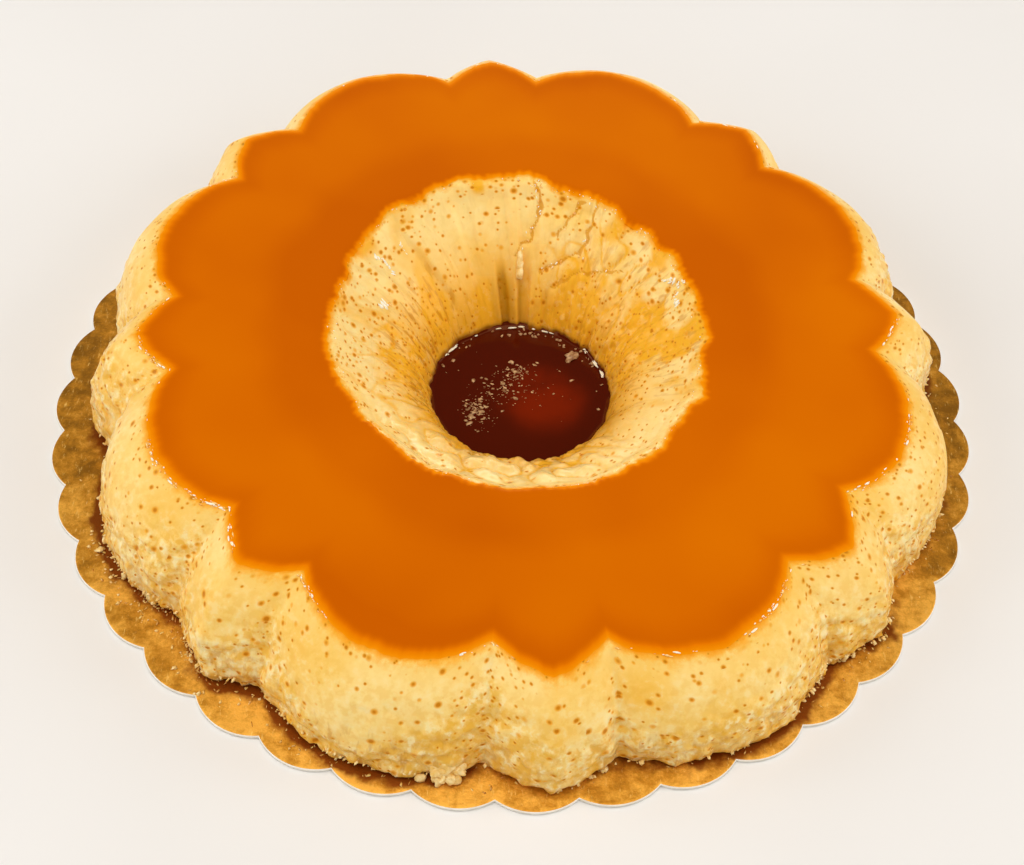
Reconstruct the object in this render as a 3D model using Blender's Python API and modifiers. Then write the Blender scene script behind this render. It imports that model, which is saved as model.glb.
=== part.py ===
"""Leche flan on a scalloped gold cake board.

A fluted custard ring, turned out of its mould onto a round foil-covered card, with liquid
caramel standing in its hole. Metres, +Z up: the board's underside lies on Z = 0 with its centre
at the origin, and the side on which the soft ring has sunk lowest faces -Y.
"""

import math

import bmesh
import bpy
from mathutils import Vector
from mathutils.geometry import interpolate_bezier

# Cake board: a 30 cm card with a scalloped edge.
BOARD_RADIUS = 0.150  # out to the crowns of the scallops
BOARD_THICKNESS = 0.0012
SCALLOPS = 40
SCALLOP_DEPTH = 0.0036  # from a crown in to the notches beside it
SCALLOP_SEGMENTS = 5

# Custard ring: radii from its own axis, heights above the board.
AXIS_X, AXIS_Y = 0.0011, -0.0014  # the ring stands a little off the board's centre
TOP_RADIUS = 0.1202  # mean radius of the flat top
BELLY_RADIUS = 0.1375  # mean radius where the wall stands out furthest
BELLY_HEIGHT = 0.0045
FOOT_TUCK = 0.0022  # how far the wall turns back in under the belly
RING_HEIGHT = 0.0375  # on the axis
TOP_RISE_X, TOP_RISE_Y = -0.03, 0.06  # slope of the top: the ring has sunk towards -Y
TOP_LEAN = 0.0016  # the top leans out over the foot on one side
TOP_LEAN_TURN = math.radians(38)
OVAL = 0.020  # the soft ring has spread by this share along one direction
OVAL_TURN = math.radians(99)
SLIP = math.radians(1.3)  # and its low side has slipped round a little
SLIP_TURN = math.radians(-88)
RIM_ROUNDING = 0.0040
BRIM_OUT, BRIM_DROP = 0.0024, 0.0016  # where the rounded rim passes into the wall
SHOULDER_OUT, SHOULDER_DROP = 0.0125, 0.0070  # fullness of the wall's upper curve
BELLY_RISE = 0.0150  # and of its lower one

# Flutes: narrow pointed ribs and broad round lobes take turns around the ring.
REPEATS = 8
FIRST_VALLEY = math.radians(-0.6)
RIB_SPAN = math.radians(15.75)
LOBE_SPAN = math.radians(29.25)
VALLEY_IN_TOP = 0.0061  # depth of a valley inside the mean radius, at the top
RIB_OUT_TOP, LOBE_OUT_TOP = 0.0027, 0.0041
VALLEY_IN_FOOT = 0.0042
RIB_OUT_FOOT, LOBE_OUT_FOOT = 0.0030, 0.0034
RIB_POINT, LOBE_POINT = 1.2, 1.9  # 1 makes a crest a straight-sided ridge, 2 a round one
FLUTES_FADE_FROM = 0.108  # radius at which the flutes have their full depth
FLUTES_FADE_TO = 0.072  # radius inside which the ring is round
TOP_BAND_RADII = (0.0780, 0.0930, 0.1085)  # rings of points that carry the flutes in over the top

# Hole: a cone, narrow at the board, with flat facets left by the mould's tube.
HOLE_RADIUS = 0.0600  # at the top
HOLE_FOOT_RADIUS = 0.0296
HOLE_SHIFT_X, HOLE_SHIFT_Y = -0.0014, 0.0005  # of its rim, from the ring's axis
HOLE_LEAN_X, HOLE_LEAN_Y = 0.0021, 0.0010  # and of its foot, from under its rim
HOLE_OVAL = 0.0020
HOLE_STEEP_OUT, HOLE_STEEP_UP = 0.0040, 0.0158  # the cone stands steep at its foot
HOLE_OPEN_IN, HOLE_OPEN_DOWN = 0.0145, 0.0105  # and opens out towards its lip
HOLE_RIM_ROUNDING = 0.0040
HOLE_LIP_IN = 0.0022
FACETS = 16

# Caramel: what has run down and stands in the hole.
CARAMEL_DEPTH = 0.0030

GAP = 0.0003  # clearance between pieces that touch
TURN_STEPS = 160  # columns 2.25 degrees apart, so every valley and facet edge falls on one
VALLEY_MARGIN = math.radians(0.01)  # keeps a column that lies on a valley from rounding past it


def crest(turn: float, valley_in: float, rib_out: float, lobe_out: float) -> float:
    """Distance of a fluted outline from its mean radius, at a turn from the first valley."""
    turn = (turn + VALLEY_MARGIN) % (2 * math.pi / REPEATS) - VALLEY_MARGIN
    if turn < RIB_SPAN:
        across = min(abs(2 * turn / RIB_SPAN - 1), 1.0)
        return -valley_in + (valley_in + rib_out) * (1 - across**RIB_POINT)
    across = abs(2 * (turn - RIB_SPAN) / LOBE_SPAN - 1)
    return -valley_in + (valley_in + lobe_out) * (1 - across**LOBE_POINT)


def ease(value: float, start: float, end: float) -> float:
    """Smooth step from 0 at start to 1 at end."""
    share = min(max((value - start) / (end - start), 0.0), 1.0)
    return share * share * (3 - 2 * share)


def settle(point: Vector) -> Vector:
    """Turn a point of the round, level ring into its place on the fluted, sunken one."""
    radius, turn = math.hypot(point.x, point.y), math.atan2(point.y, point.x)
    angle = turn + FIRST_VALLEY
    depth = min(max(1 - point.z / RING_HEIGHT, 0.0), 1.0)

    at_top = crest(turn, VALLEY_IN_TOP, RIB_OUT_TOP, LOBE_OUT_TOP)
    at_foot = crest(turn, VALLEY_IN_FOOT, RIB_OUT_FOOT, LOBE_OUT_FOOT)
    flute = (at_top + (at_foot - at_top) * depth) * ease(radius, FLUTES_FADE_TO, FLUTES_FADE_FROM)

    near_hole = 1 - ease(radius, HOLE_RADIUS, FLUTES_FADE_FROM)
    facet_share = (turn * FACETS / (2 * math.pi)) % 1 - 0.5
    facet = radius * (math.cos(math.pi / FACETS) / math.cos(2 * math.pi * facet_share / FACETS) - 1)
    spread = math.cos(2 * (angle - OVAL_TURN))
    lean = TOP_LEAN * math.cos(angle - TOP_LEAN_TURN) * (1 - near_hole)
    radius += flute + OVAL * radius * spread
    radius += near_hole * facet + (near_hole * HOLE_OVAL * spread + lean) * (1 - depth)

    angle -= SLIP * max(math.cos(angle - SLIP_TURN), 0.0) ** 3 * (1 - near_hole)
    x = radius * math.cos(angle) + near_hole * (HOLE_SHIFT_X + HOLE_LEAN_X * depth)
    y = radius * math.sin(angle) + near_hole * (HOLE_SHIFT_Y + HOLE_LEAN_Y * depth)
    above_caramel = max(point.z - CARAMEL_DEPTH, 0.0) / (RING_HEIGHT - CARAMEL_DEPTH)
    lift = (TOP_RISE_X * x + TOP_RISE_Y * y) * above_caramel
    return Vector((AXIS_X + x, AXIS_Y + y, BOARD_THICKNESS + point.z + lift))


def bezier(start, start_handle, end_handle, end, count: int) -> list[tuple[float, float]]:
    """Points (radius, height) along one Bezier curve, both ends included."""
    corners = [Vector((radius, height, 0.0)) for radius, height in (start, start_handle, end_handle, end)]
    return [(point.x, point.y) for point in interpolate_bezier(*corners, count)]


def wall_profile() -> list[tuple[float, float]]:
    """Outer wall from the flat top, over the rim, the full shoulder and the belly, to the foot."""
    top, rim = RING_HEIGHT, RIM_ROUNDING
    brim = (TOP_RADIUS + BRIM_OUT, top - BRIM_DROP)
    belly = (BELLY_RADIUS, BELLY_HEIGHT)
    foot = (BELLY_RADIUS - FOOT_TUCK, GAP)
    over_rim = bezier((TOP_RADIUS - rim / 2, top), (TOP_RADIUS, top),
                      (TOP_RADIUS + BRIM_OUT / 2, top - BRIM_DROP / 3), brim, 3)
    down_wall = bezier(brim, (TOP_RADIUS + SHOULDER_OUT, top - SHOULDER_DROP),
                       (BELLY_RADIUS, BELLY_HEIGHT + BELLY_RISE), belly, 8)
    under_belly = bezier(belly, (BELLY_RADIUS, BELLY_HEIGHT / 2),
                         (BELLY_RADIUS - FOOT_TUCK / 2, GAP), foot, 3)
    return over_rim + down_wall[1:] + under_belly[1:]


def hole_profile() -> list[tuple[float, float]]:
    """Wall of the hole from its foot up to the flat top."""
    top, rim = RING_HEIGHT, HOLE_RIM_ROUNDING
    foot = (HOLE_FOOT_RADIUS, GAP)
    lip = (HOLE_RADIUS - HOLE_LIP_IN, top - rim)
    up_wall = bezier(foot, (foot[0] + HOLE_STEEP_OUT, foot[1] + HOLE_STEEP_UP),
                     (lip[0] - HOLE_OPEN_IN, lip[1] - HOLE_OPEN_DOWN), lip, 7)
    over_lip = bezier(lip, (HOLE_RADIUS, top - rim / 3), (HOLE_RADIUS + rim / 3, top),
                      (HOLE_RADIUS + rim, top), 4)
    return up_wall + over_lip[1:]


def turned(name: str, profile: list[tuple[float, float]], closed: bool) -> bpy.types.Object:
    """Turn a profile around Z, then move every point to its place on the sunken ring."""
    guide_mesh = bpy.data.meshes.new(f"{name}_profile")
    edges = [(index, index + 1) for index in range(len(profile) - 1)]
    if closed:
        edges.append((len(profile) - 1, 0))
    guide_mesh.from_pydata([(radius, 0.0, height) for radius, height in profile], edges, [])
    guide = bpy.data.objects.new(f"{name}_profile", guide_mesh)
    bpy.context.scene.collection.objects.link(guide)

    screw = guide.modifiers.new("turn", "SCREW")
    screw.steps = screw.render_steps = TURN_STEPS
    screw.use_merge_vertices = True
    screw.merge_threshold = 0.0001
    depsgraph = bpy.context.evaluated_depsgraph_get()
    mesh = bpy.data.meshes.new_from_object(guide.evaluated_get(depsgraph))
    mesh.name = name
    bpy.data.objects.remove(guide)

    for vertex in mesh.vertices:
        vertex.co = settle(vertex.co)
    return bpy.data.objects.new(name, mesh)


def custard_ring() -> bpy.types.Object:
    """The custard itself, one solid from the foot of the hole to the foot of the wall."""
    top_band = [(radius, RING_HEIGHT) for radius in TOP_BAND_RADII]
    profile = wall_profile() + hole_profile() + top_band
    ring = turned("custard_ring", profile, closed=True)
    ring.data.shade_smooth()
    ring.data.set_sharp_from_angle(angle=math.radians(50))
    return ring


def caramel_pool() -> bpy.types.Object:
    """Liquid caramel that fills the foot of the hole, clear of the custard all round."""
    wall = [(radius - GAP, height) for radius, height in hole_profile()]
    low = wall[0]
    high = next(point for point in wall if point[1] > CARAMEL_DEPTH)
    share = (CARAMEL_DEPTH - low[1]) / (high[1] - low[1])
    surface_radius = low[0] + (high[0] - low[0]) * share
    profile = [(0.0, CARAMEL_DEPTH), (surface_radius, CARAMEL_DEPTH), low, (0.0, low[1])]
    pool = turned("caramel_pool", profile, closed=False)
    pool.data.shade_smooth()
    pool.data.set_sharp_from_angle(angle=math.radians(50))
    return pool


def scalloped_outline() -> list[tuple[float, float]]:
    """Outline of the board: equal arcs that meet in notches, one notch on +X."""
    notch_radius = BOARD_RADIUS - SCALLOP_DEPTH
    half_pitch = math.pi / SCALLOPS
    half_chord = notch_radius * math.sin(half_pitch)
    rise = BOARD_RADIUS - notch_radius * math.cos(half_pitch)
    arc_radius = (half_chord**2 + rise**2) / (2 * rise)
    arc_half_angle = math.asin(min(half_chord / arc_radius, 1.0))
    centre_distance = BOARD_RADIUS - arc_radius
    points = []
    for scallop in range(SCALLOPS):
        middle = (2 * scallop + 1) * half_pitch
        for step in range(SCALLOP_SEGMENTS):
            turn = middle + arc_half_angle * (2 * step / SCALLOP_SEGMENTS - 1)
            points.append((centre_distance * math.cos(middle) + arc_radius * math.cos(turn),
                           centre_distance * math.sin(middle) + arc_radius * math.sin(turn)))
    return points


def cake_board() -> bpy.types.Object:
    """The foil-covered card: a flat scalloped outline with the card's thickness."""
    outline = scalloped_outline()
    curve = bpy.data.curves.new("cake_board", "CURVE")
    curve.dimensions = "2D"
    curve.fill_mode = "BOTH"
    curve.extrude = BOARD_THICKNESS / 2
    spline = curve.splines.new("POLY")
    spline.points.add(len(outline) - 1)
    for point, (x, y) in zip(spline.points, outline):
        point.co = (x, y, 0.0, 1.0)
    spline.use_cyclic_u = True
    guide = bpy.data.objects.new("cake_board_outline", curve)
    bpy.context.scene.collection.objects.link(guide)

    depsgraph = bpy.context.evaluated_depsgraph_get()
    mesh = bpy.data.meshes.new_from_object(guide.evaluated_get(depsgraph))
    mesh.name = "cake_board"
    bpy.data.objects.remove(guide)
    shape = bmesh.new()
    shape.from_mesh(mesh)
    bmesh.ops.remove_doubles(shape, verts=shape.verts, dist=0.00001)
    shape.to_mesh(mesh)
    shape.free()

    board = bpy.data.objects.new("cake_board", mesh)
    board.location.z = BOARD_THICKNESS / 2
    return board


def finish(name: str, colour: tuple[float, float, float], roughness: float,
           metallic: float = 0.0) -> bpy.types.Material:
    """A Principled material in one linear colour."""
    material = bpy.data.materials.new(name)
    material.use_nodes = True
    shader = material.node_tree.nodes["Principled BSDF"]
    shader.inputs["Base Color"].default_value = (*colour, 1.0)
    shader.inputs["Roughness"].default_value = roughness
    shader.inputs["Metallic"].default_value = metallic
    return material


def main() -> None:
    """Clear the scene and build the three pieces in their own collection."""
    for item in list(bpy.data.objects):
        bpy.data.objects.remove(item)
    flan = bpy.data.collections.new("leche_flan")
    bpy.context.scene.collection.children.link(flan)
    dressed = (
        (custard_ring(), finish("baked_custard", (0.89, 0.60, 0.21), 0.35)),
        (caramel_pool(), finish("liquid_caramel", (0.07, 0.008, 0.002), 0.08)),
        (cake_board(), finish("gold_foil_card", (0.60, 0.32, 0.06), 0.35, metallic=0.9)),
    )
    for piece, material in dressed:
        piece.data.materials.clear()
        piece.data.materials.append(material)
        flan.objects.link(piece)


main()
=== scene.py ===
"""Looks of a leche flan: a caramel-soaked custard ring on a scalloped gold cake board.

Metres, +Z up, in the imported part's own frame: the board's underside lies on Z = 0 with its centre
at the origin, and the side on which the soft ring has sunk lowest faces -Y. Turns are measured
about the ring's axis, from +X towards +Y.
"""

import logging
import math
import random
from bisect import bisect_right
from dataclasses import dataclass, field
from enum import Enum
from typing import Any, ClassVar, Iterable, Optional, Sequence

import bmesh
import bpy
from mathutils import Matrix, Vector, noise
from mathutils.geometry import interpolate_bezier, intersect_point_line


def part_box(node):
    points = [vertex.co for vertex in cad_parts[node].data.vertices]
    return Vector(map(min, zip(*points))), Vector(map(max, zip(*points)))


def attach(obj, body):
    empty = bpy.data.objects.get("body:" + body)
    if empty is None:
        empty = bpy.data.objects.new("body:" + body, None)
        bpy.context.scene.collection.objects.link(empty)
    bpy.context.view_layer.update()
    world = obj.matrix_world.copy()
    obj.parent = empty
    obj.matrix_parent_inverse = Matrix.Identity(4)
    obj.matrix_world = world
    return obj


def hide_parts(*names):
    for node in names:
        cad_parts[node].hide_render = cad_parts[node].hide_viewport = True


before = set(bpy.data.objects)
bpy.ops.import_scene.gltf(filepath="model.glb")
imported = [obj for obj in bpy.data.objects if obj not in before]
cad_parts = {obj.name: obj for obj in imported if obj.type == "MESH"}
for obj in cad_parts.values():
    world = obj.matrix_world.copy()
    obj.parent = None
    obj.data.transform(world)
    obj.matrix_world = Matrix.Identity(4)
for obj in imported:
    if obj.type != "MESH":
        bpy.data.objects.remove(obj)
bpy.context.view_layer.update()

Bells = Sequence[tuple[float, float, float]]  # each a strength, and a middle and half width in degrees
Waves = Sequence[tuple[float, float, float]]  # each a height, the waves in a full turn, and which noise
Stretches = Sequence[tuple[float, float, int]]  # each a middle and half width in degrees, and how many
Path = Sequence[tuple[float, float]]  # points in degrees round a wall and mm down it

log = logging.getLogger("leche_flan")
MM = 0.001
BODY = "root"  # the part has no joints, so all of it is one body
COARSE_COLUMNS = 120  # steps in which rings are spun before they are divided further
SAME_PLACE = 1e-5  # rows and radii that differ by less are the same one
SMOOTH = {"interpolation_type": "SMOOTHSTEP"}


class Slot(Enum):
    """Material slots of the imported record."""

    CUSTARD = "custard"
    CARAMEL = "caramel"
    CARD = "gold_card"


# ---------------------------------------------------------------------------------------------
# Small shared tools
# ---------------------------------------------------------------------------------------------


def ease(value: float, start: float, end: float) -> float:
    """Smooth step from 0 at start to 1 at end; start may be the larger one."""
    share = min(max((value - start) / (end - start), 0.0), 1.0)
    return share * share * (3 - 2 * share)


def near_turn(turn: float, centre: float, half_width: float) -> float:
    """Bell over a stretch of the ring.

    Args:
        turn: Where, in radians.
        centre: Middle of the stretch, in degrees.
        half_width: Half its width, in degrees.

    Returns:
        1 in the middle, falling to 0 at the stretch's ends.
    """
    away = abs((math.degrees(turn) - centre + 180) % 360 - 180)
    return ease(away, half_width, half_width * 0.35)


def bells(turn: float, stretches: Bells) -> list[float]:
    """Height at a turn of each of some bells."""
    return [strength * near_turn(turn, centre, half_width) for strength, centre, half_width in stretches]


def polar(radius: float, turn: float, height: float = 0.0) -> Vector:
    """Point at a radius, a turn and a height about the Z axis."""
    return Vector((radius * math.cos(turn), radius * math.sin(turn), height))


def turn_of(spot: Vector) -> float:
    """Turn of a point about the Z axis, in radians."""
    return math.atan2(spot.y, spot.x)


def wander(turn: float, waves: float, seed: float) -> float:
    """Smooth noise round the ring that closes on itself, from about -1 to 1.

    Args:
        turn: Where, in radians.
        waves: About how many swings there are in a full turn.
        seed: Which noise.

    Returns:
        The noise there.
    """
    apart = 7.31  # keeps the noises of two seeds from resembling each other
    return 2 * noise.noise(polar(waves / (2 * math.pi), turn, seed * apart))


def ripples(turn: float, waves: Waves) -> float:
    """Sum of several noises round the ring."""
    return sum(height * wander(turn, count, seed) for height, count, seed in waves)


def crumbly(spot: Vector) -> float:
    """Noise with finer noise on it, from about -1 to 1."""
    roughness, finer, octaves = 0.8, 2.1, 3
    return noise.fractal(spot, roughness, finer, octaves)


def linear(colour: str) -> tuple[float, float, float, float]:
    """Turn a colour to linear.

    Args:
        colour: An sRGB hex colour such as "#d26503".

    Returns:
        Its linear RGBA.
    """
    shares = [int(colour[start:start + 2], 16) / 255 for start in (1, 3, 5)]
    return (*[share / 12.92 if share <= 0.04045 else ((share + 0.055) / 1.055) ** 2.4
              for share in shares], 1.0)


def spaced(start: float, end: float, spacing: float) -> list[float]:
    """Even steps from start to end, both included, no wider than spacing."""
    count = max(1, math.ceil(abs(end - start) / spacing))
    return [start + (end - start) * step / count for step in range(count + 1)]


def output(node: bpy.types.Node) -> bpy.types.NodeSocket:
    """The first of a node's outputs that is in use."""
    return next(socket for socket in node.outputs if socket.enabled)


def connect(tree: bpy.types.NodeTree, node: bpy.types.Node, links: dict[str, Any]) -> None:
    """Give a node's inputs their values and links.

    Args:
        tree: The material's node tree.
        node: The node.
        links: Input name to a value, an sRGB hex colour, an output socket or a node, whose first
            output is meant.
    """
    for name, value in links.items():
        target = next(socket for socket in node.inputs
                      if socket.enabled and name in (socket.name, socket.identifier))
        if isinstance(value, bpy.types.Node):
            value = output(value)
        if isinstance(value, bpy.types.NodeSocket):
            tree.links.new(value, target)
        else:
            target.default_value = linear(value) if isinstance(value, str) else value


def add(tree: bpy.types.NodeTree, kind: str, links: Optional[dict[str, Any]] = None,
        stops: Sequence[tuple[float, str]] = (), **settings: Any) -> bpy.types.Node:
    """Add one shader node with its settings and links.

    Args:
        tree: The material's node tree.
        kind: Node type without its ShaderNode prefix.
        links: Its inputs, as connect takes them.
        stops: A colour ramp's positions and sRGB hex colours.
        **settings: The node's own properties.

    Returns:
        The new node.
    """
    node = tree.nodes.new(f"ShaderNode{kind}")
    for name, value in settings.items():
        setattr(node, name, value)
    connect(tree, node, links or {})
    ramp = node.color_ramp.elements if stops else []
    while len(ramp) < len(stops):
        ramp.new(1.0)
    for element, (position, colour) in zip(ramp, stops):
        element.position = position
        element.color = linear(colour)
    return node


def start_material(name: str) -> tuple[bpy.types.Material, bpy.types.NodeTree, bpy.types.Node,
                                        bpy.types.NodeSocket]:
    """Start a material.

    Args:
        name: Its name.

    Returns:
        The material, its node tree, its shader and its object coordinates.
    """
    material = bpy.data.materials.new(name)
    material.use_nodes = True
    tree = material.node_tree
    return material, tree, tree.nodes["Principled BSDF"], add(tree, "TexCoord").outputs["Object"]


def grain(size: float) -> float:
    """Texture scale, per metre, at which a pattern repeats about every size millimetres."""
    return 1 / (size * MM)


def place_piece(shape: bmesh.types.BMesh, name: str, finishes: Iterable[bpy.types.Material],
                replaces: Sequence[str] = ()) -> bpy.types.Object:
    """Turn a finished bmesh into a smooth-shaded piece that rides on the part's body.

    Args:
        shape: The mesh, in the part's frame; it is freed.
        name: The piece's name.
        finishes: Its materials, in the order of its faces' material numbers.
        replaces: CAD nodes it stands for.

    Returns:
        The new object.
    """
    mesh = bpy.data.meshes.new(name)
    shape.to_mesh(mesh)
    shape.free()
    mesh.shade_smooth()
    piece = bpy.data.objects.new(name, mesh)
    bpy.context.scene.collection.objects.link(piece)
    for finish in finishes:
        mesh.materials.append(finish)
    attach(piece, BODY)
    if replaces:
        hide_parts(*replaces)
    log.info("%s: %d vertices, %d faces", name, len(mesh.vertices), len(mesh.polygons))
    return piece


def turned(shape: bmesh.types.BMesh, rows: Sequence[float], columns: int, closed: bool = False) -> None:
    """Spin a line of points into a ring whose vertices remember their row.

    The ring is only a topology: each vertex's turn is read from its place, and its row, stored in
    the layer "along", says where on the section it belongs.

    Args:
        shape: The bmesh that the ring is added to.
        rows: Position along the section of each row.
        columns: Number of columns, a multiple of 120.
        closed: Whether the last row joins the first.
    """
    along = shape.verts.layers.float.get("along") or shape.verts.layers.float.new("along")
    line = []
    for index, row in enumerate(rows):
        vertex = shape.verts.new((0.5 + index / len(rows), 0.0, 0.0))
        vertex[along] = row
        line.append(vertex)
    pairs = list(zip(line, line[1:])) + ([(line[-1], line[0])] if closed else [])
    edges = [shape.edges.new(pair) for pair in pairs]
    before = set(shape.faces)
    bmesh.ops.spin(shape, geom=line + edges, cent=(0, 0, 0), axis=(0, 0, 1), dvec=(0, 0, 0),
                   angle=2 * math.pi, steps=COARSE_COLUMNS, use_merge=True, use_normal_flip=False,
                   use_duplicate=False)
    made = [face for face in shape.faces if face not in before]
    round_edges = dict.fromkeys(edge for face in made for edge in face.edges
                                if abs(edge.verts[0].co.length - edge.verts[1].co.length) < SAME_PLACE)
    bmesh.ops.subdivide_edges(shape, edges=list(round_edges), cuts=columns // COARSE_COLUMNS - 1,
                              use_grid_fill=True)


def cap(shape: bmesh.types.BMesh, ends: Iterable[float]) -> None:
    """Close the open ends of a turned shape with a face each.

    Args:
        shape: The turned shape.
        ends: The row at each end.
    """
    along = shape.verts.layers.float["along"]
    open_edges = [edge for edge in shape.edges if edge.is_boundary]
    for end in ends:
        rim = [edge for edge in open_edges if abs(edge.verts[0][along] - end) < SAME_PLACE]
        bmesh.ops.contextual_create(shape, geom=rim)


def face_outwards(shape: bmesh.types.BMesh) -> None:
    """Turn a closed shape's faces outwards, working from where its vertices are now."""
    shape.normal_update()
    bmesh.ops.recalc_face_normals(shape, faces=shape.faces)


# ---------------------------------------------------------------------------------------------
# The ring's form, shared by every piece that follows it
# ---------------------------------------------------------------------------------------------


@dataclass
class RingForm:
    """Section and fluted, sunken plan of the custard ring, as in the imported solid.

    The section is drawn for a round, level ring, and settle then carries each of its points to the
    real one.
    """

    board_top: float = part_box("cake_board")[1].z
    caramel_level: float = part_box("caramel_pool")[1].z
    # Where the ring stands, and its main sizes.
    axis_x: float = 0.0011
    axis_y: float = -0.0014
    top_radius: float = 0.1202
    belly_radius: float = 0.1375
    belly_height: float = 0.0045
    foot_tuck: float = 0.0022
    ring_height: float = 0.0375
    # Rise of its top along X and Y, and how far the soft ring has leant, spread and slipped.
    top_rise_x: float = -0.03
    top_rise_y: float = 0.06
    top_lean: float = 0.0016
    top_lean_turn: float = math.radians(38)
    oval: float = 0.020
    oval_turn: float = math.radians(99)
    slip: float = math.radians(1.3)
    slip_turn: float = math.radians(-88)
    # Handles of the section's curves over the rim and down the wall.
    rim_rounding: float = 0.0040
    brim_out: float = 0.0024
    brim_drop: float = 0.0016
    shoulder_out: float = 0.0125
    shoulder_drop: float = 0.0070
    belly_rise: float = 0.0150
    # Flutes: a narrow rib and a wide lobe, eight times, which fade out towards the hole.
    repeats: int = 8
    first_valley: float = math.radians(-0.6)
    rib_span: float = math.radians(15.75)
    lobe_span: float = math.radians(29.25)
    valley_in_top: float = 0.0061
    rib_out_top: float = 0.0027
    lobe_out_top: float = 0.0041
    valley_in_foot: float = 0.0042
    rib_out_foot: float = 0.0030
    lobe_out_foot: float = 0.0034
    rib_point: float = 1.2
    lobe_point: float = 1.9
    flutes_fade_from: float = 0.108
    flutes_fade_to: float = 0.072
    # The hole, faceted and leaning, and the handles of the section's curves up its wall.
    hole_radius: float = 0.0600
    hole_foot_radius: float = 0.0296
    hole_shift_x: float = -0.0014
    hole_shift_y: float = 0.0005
    hole_lean_x: float = 0.0021
    hole_lean_y: float = 0.0010
    hole_oval: float = 0.0020
    hole_steep_out: float = 0.0040
    hole_steep_up: float = 0.0158
    hole_open_in: float = 0.0145
    hole_open_down: float = 0.0105
    hole_rim_rounding: float = 0.0040
    hole_lip_in: float = 0.0022
    facets: int = 16
    gap: float = 0.0003
    film: float = 0.0004  # the caramel's thickness, which the custard's top stays below
    border_on_lip: float = 0.0024  # along the section, from the lip's radius to the caramel's border
    border_on_rim: float = -0.0009  # and from the top's radius to its border on the rim
    curve_steps: int = 48
    # How far the border at the hole is drawn back, in mm, and the ragged edges at both borders.
    drawn_back: Bells = ((1.5, 0, 60), (1.5, 100, 26), (0.9, 210, 50), (-0.4, 267, 30), (-1.9, 46, 14),
                         (-1.0, 165, 30))
    ragged_at_hole: Waves = ((0.8, 60, 1), (0.7, 18, 2), (0.35, 250, 3))
    ragged_at_rim: Waves = ((0.35, 120, 4), (0.5, 40, 5), (0.25, 420, 6))
    # Where the ring's foot crumbles most.
    crumbling: Bells = ((1.0, 198, 60), (1.0, -18, 50))
    # Cracks in the hole's far wall: turns in degrees and mm below the caramel's border.
    creases: tuple[Path, ...] = (((87, 0), (85, 6), (85, 10), (88, 16), (90, 20), (94, 24)),
                                 ((68, 0), (66, 7), (67, 19), (74, 23), (83, 28)),
                                 ((47, 16), (53, 19), (66, 26), (76, 32)),
                                 ((71, 2), (74, 8), (77, 15)))
    creased: tuple[float, float] = (40, 100)  # degrees between which they all lie
    degree: float = 0.85  # millimetres to a degree on that wall
    # The section's radii and heights, from the hole's foot on, and how far along it each one is.
    section: list[tuple[float, float]] = field(default_factory=list)
    arcs: list[float] = field(default_factory=list)
    lip_arc: float = 0.0
    rim_arc: float = 0.0

    def __post_init__(self) -> None:
        """Work out the section and where the caramel's two borders lie on it."""
        self.section = self._hole_side() + self._wall_side()
        self.arcs = [0.0]
        for (r0, h0), (r1, h1) in zip(self.section, self.section[1:]):
            self.arcs.append(self.arcs[-1] + math.hypot(r1 - r0, h1 - h0))
        self.lip_arc = self.arc_at_radius(self.hole_radius) + self.border_on_lip
        self.rim_arc = self.arc_at_radius(self.top_radius) + self.border_on_rim

    def _curve(self, *corners: tuple[float, float]) -> list[tuple[float, float]]:
        """Points along the Bezier curve of a start, its handle, the end's handle and the end."""
        points = interpolate_bezier(*[Vector((*corner, 0.0)) for corner in corners], self.curve_steps)
        return [(point.x, point.y) for point in points]

    def _hole_side(self) -> list[tuple[float, float]]:
        """Draw the section from the hole's foot up its wall and over the lip to the flat top.

        Returns:
            Its points' radii and heights.
        """
        top, rim = self.ring_height - self.film, self.hole_rim_rounding
        foot = (self.hole_foot_radius, self.gap)
        lip = (self.hole_radius - self.hole_lip_in, top - rim)
        up_wall = self._curve(foot, (foot[0] + self.hole_steep_out, foot[1] + self.hole_steep_up),
                              (lip[0] - self.hole_open_in, lip[1] - self.hole_open_down), lip)
        over_lip = self._curve(lip, (self.hole_radius, top - rim / 3), (self.hole_radius + rim / 3, top),
                               (self.hole_radius + rim, top))
        return up_wall + over_lip[1:]

    def _wall_side(self) -> list[tuple[float, float]]:
        """Draw the section from the flat top over the rim and down the wall to its foot.

        Returns:
            Its points' radii and heights.
        """
        top, rim = self.ring_height - self.film, self.rim_rounding
        brim = (self.top_radius + self.brim_out, top - self.brim_drop)
        belly = (self.belly_radius, self.belly_height)
        over_rim = self._curve((self.top_radius - rim / 2, top), (self.top_radius, top),
                               (self.top_radius + self.brim_out / 2, top - self.brim_drop / 3), brim)
        down_wall = self._curve(brim, (self.top_radius + self.shoulder_out, top - self.shoulder_drop),
                                (self.belly_radius, self.belly_height + self.belly_rise), belly)
        under_belly = self._curve(belly, (self.belly_radius, self.belly_height / 2),
                                  (self.belly_radius - self.foot_tuck / 2, self.gap),
                                  (self.belly_radius - self.foot_tuck, self.gap))
        return over_rim + down_wall[1:] + under_belly[1:]

    @property
    def length(self) -> float:
        """Length of the whole section."""
        return self.arcs[-1]

    @property
    def middle_arc(self) -> float:
        """Distance along the section to the middle of the caramel on the flat top."""
        return (self.lip_arc + self.rim_arc) / 2

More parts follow.
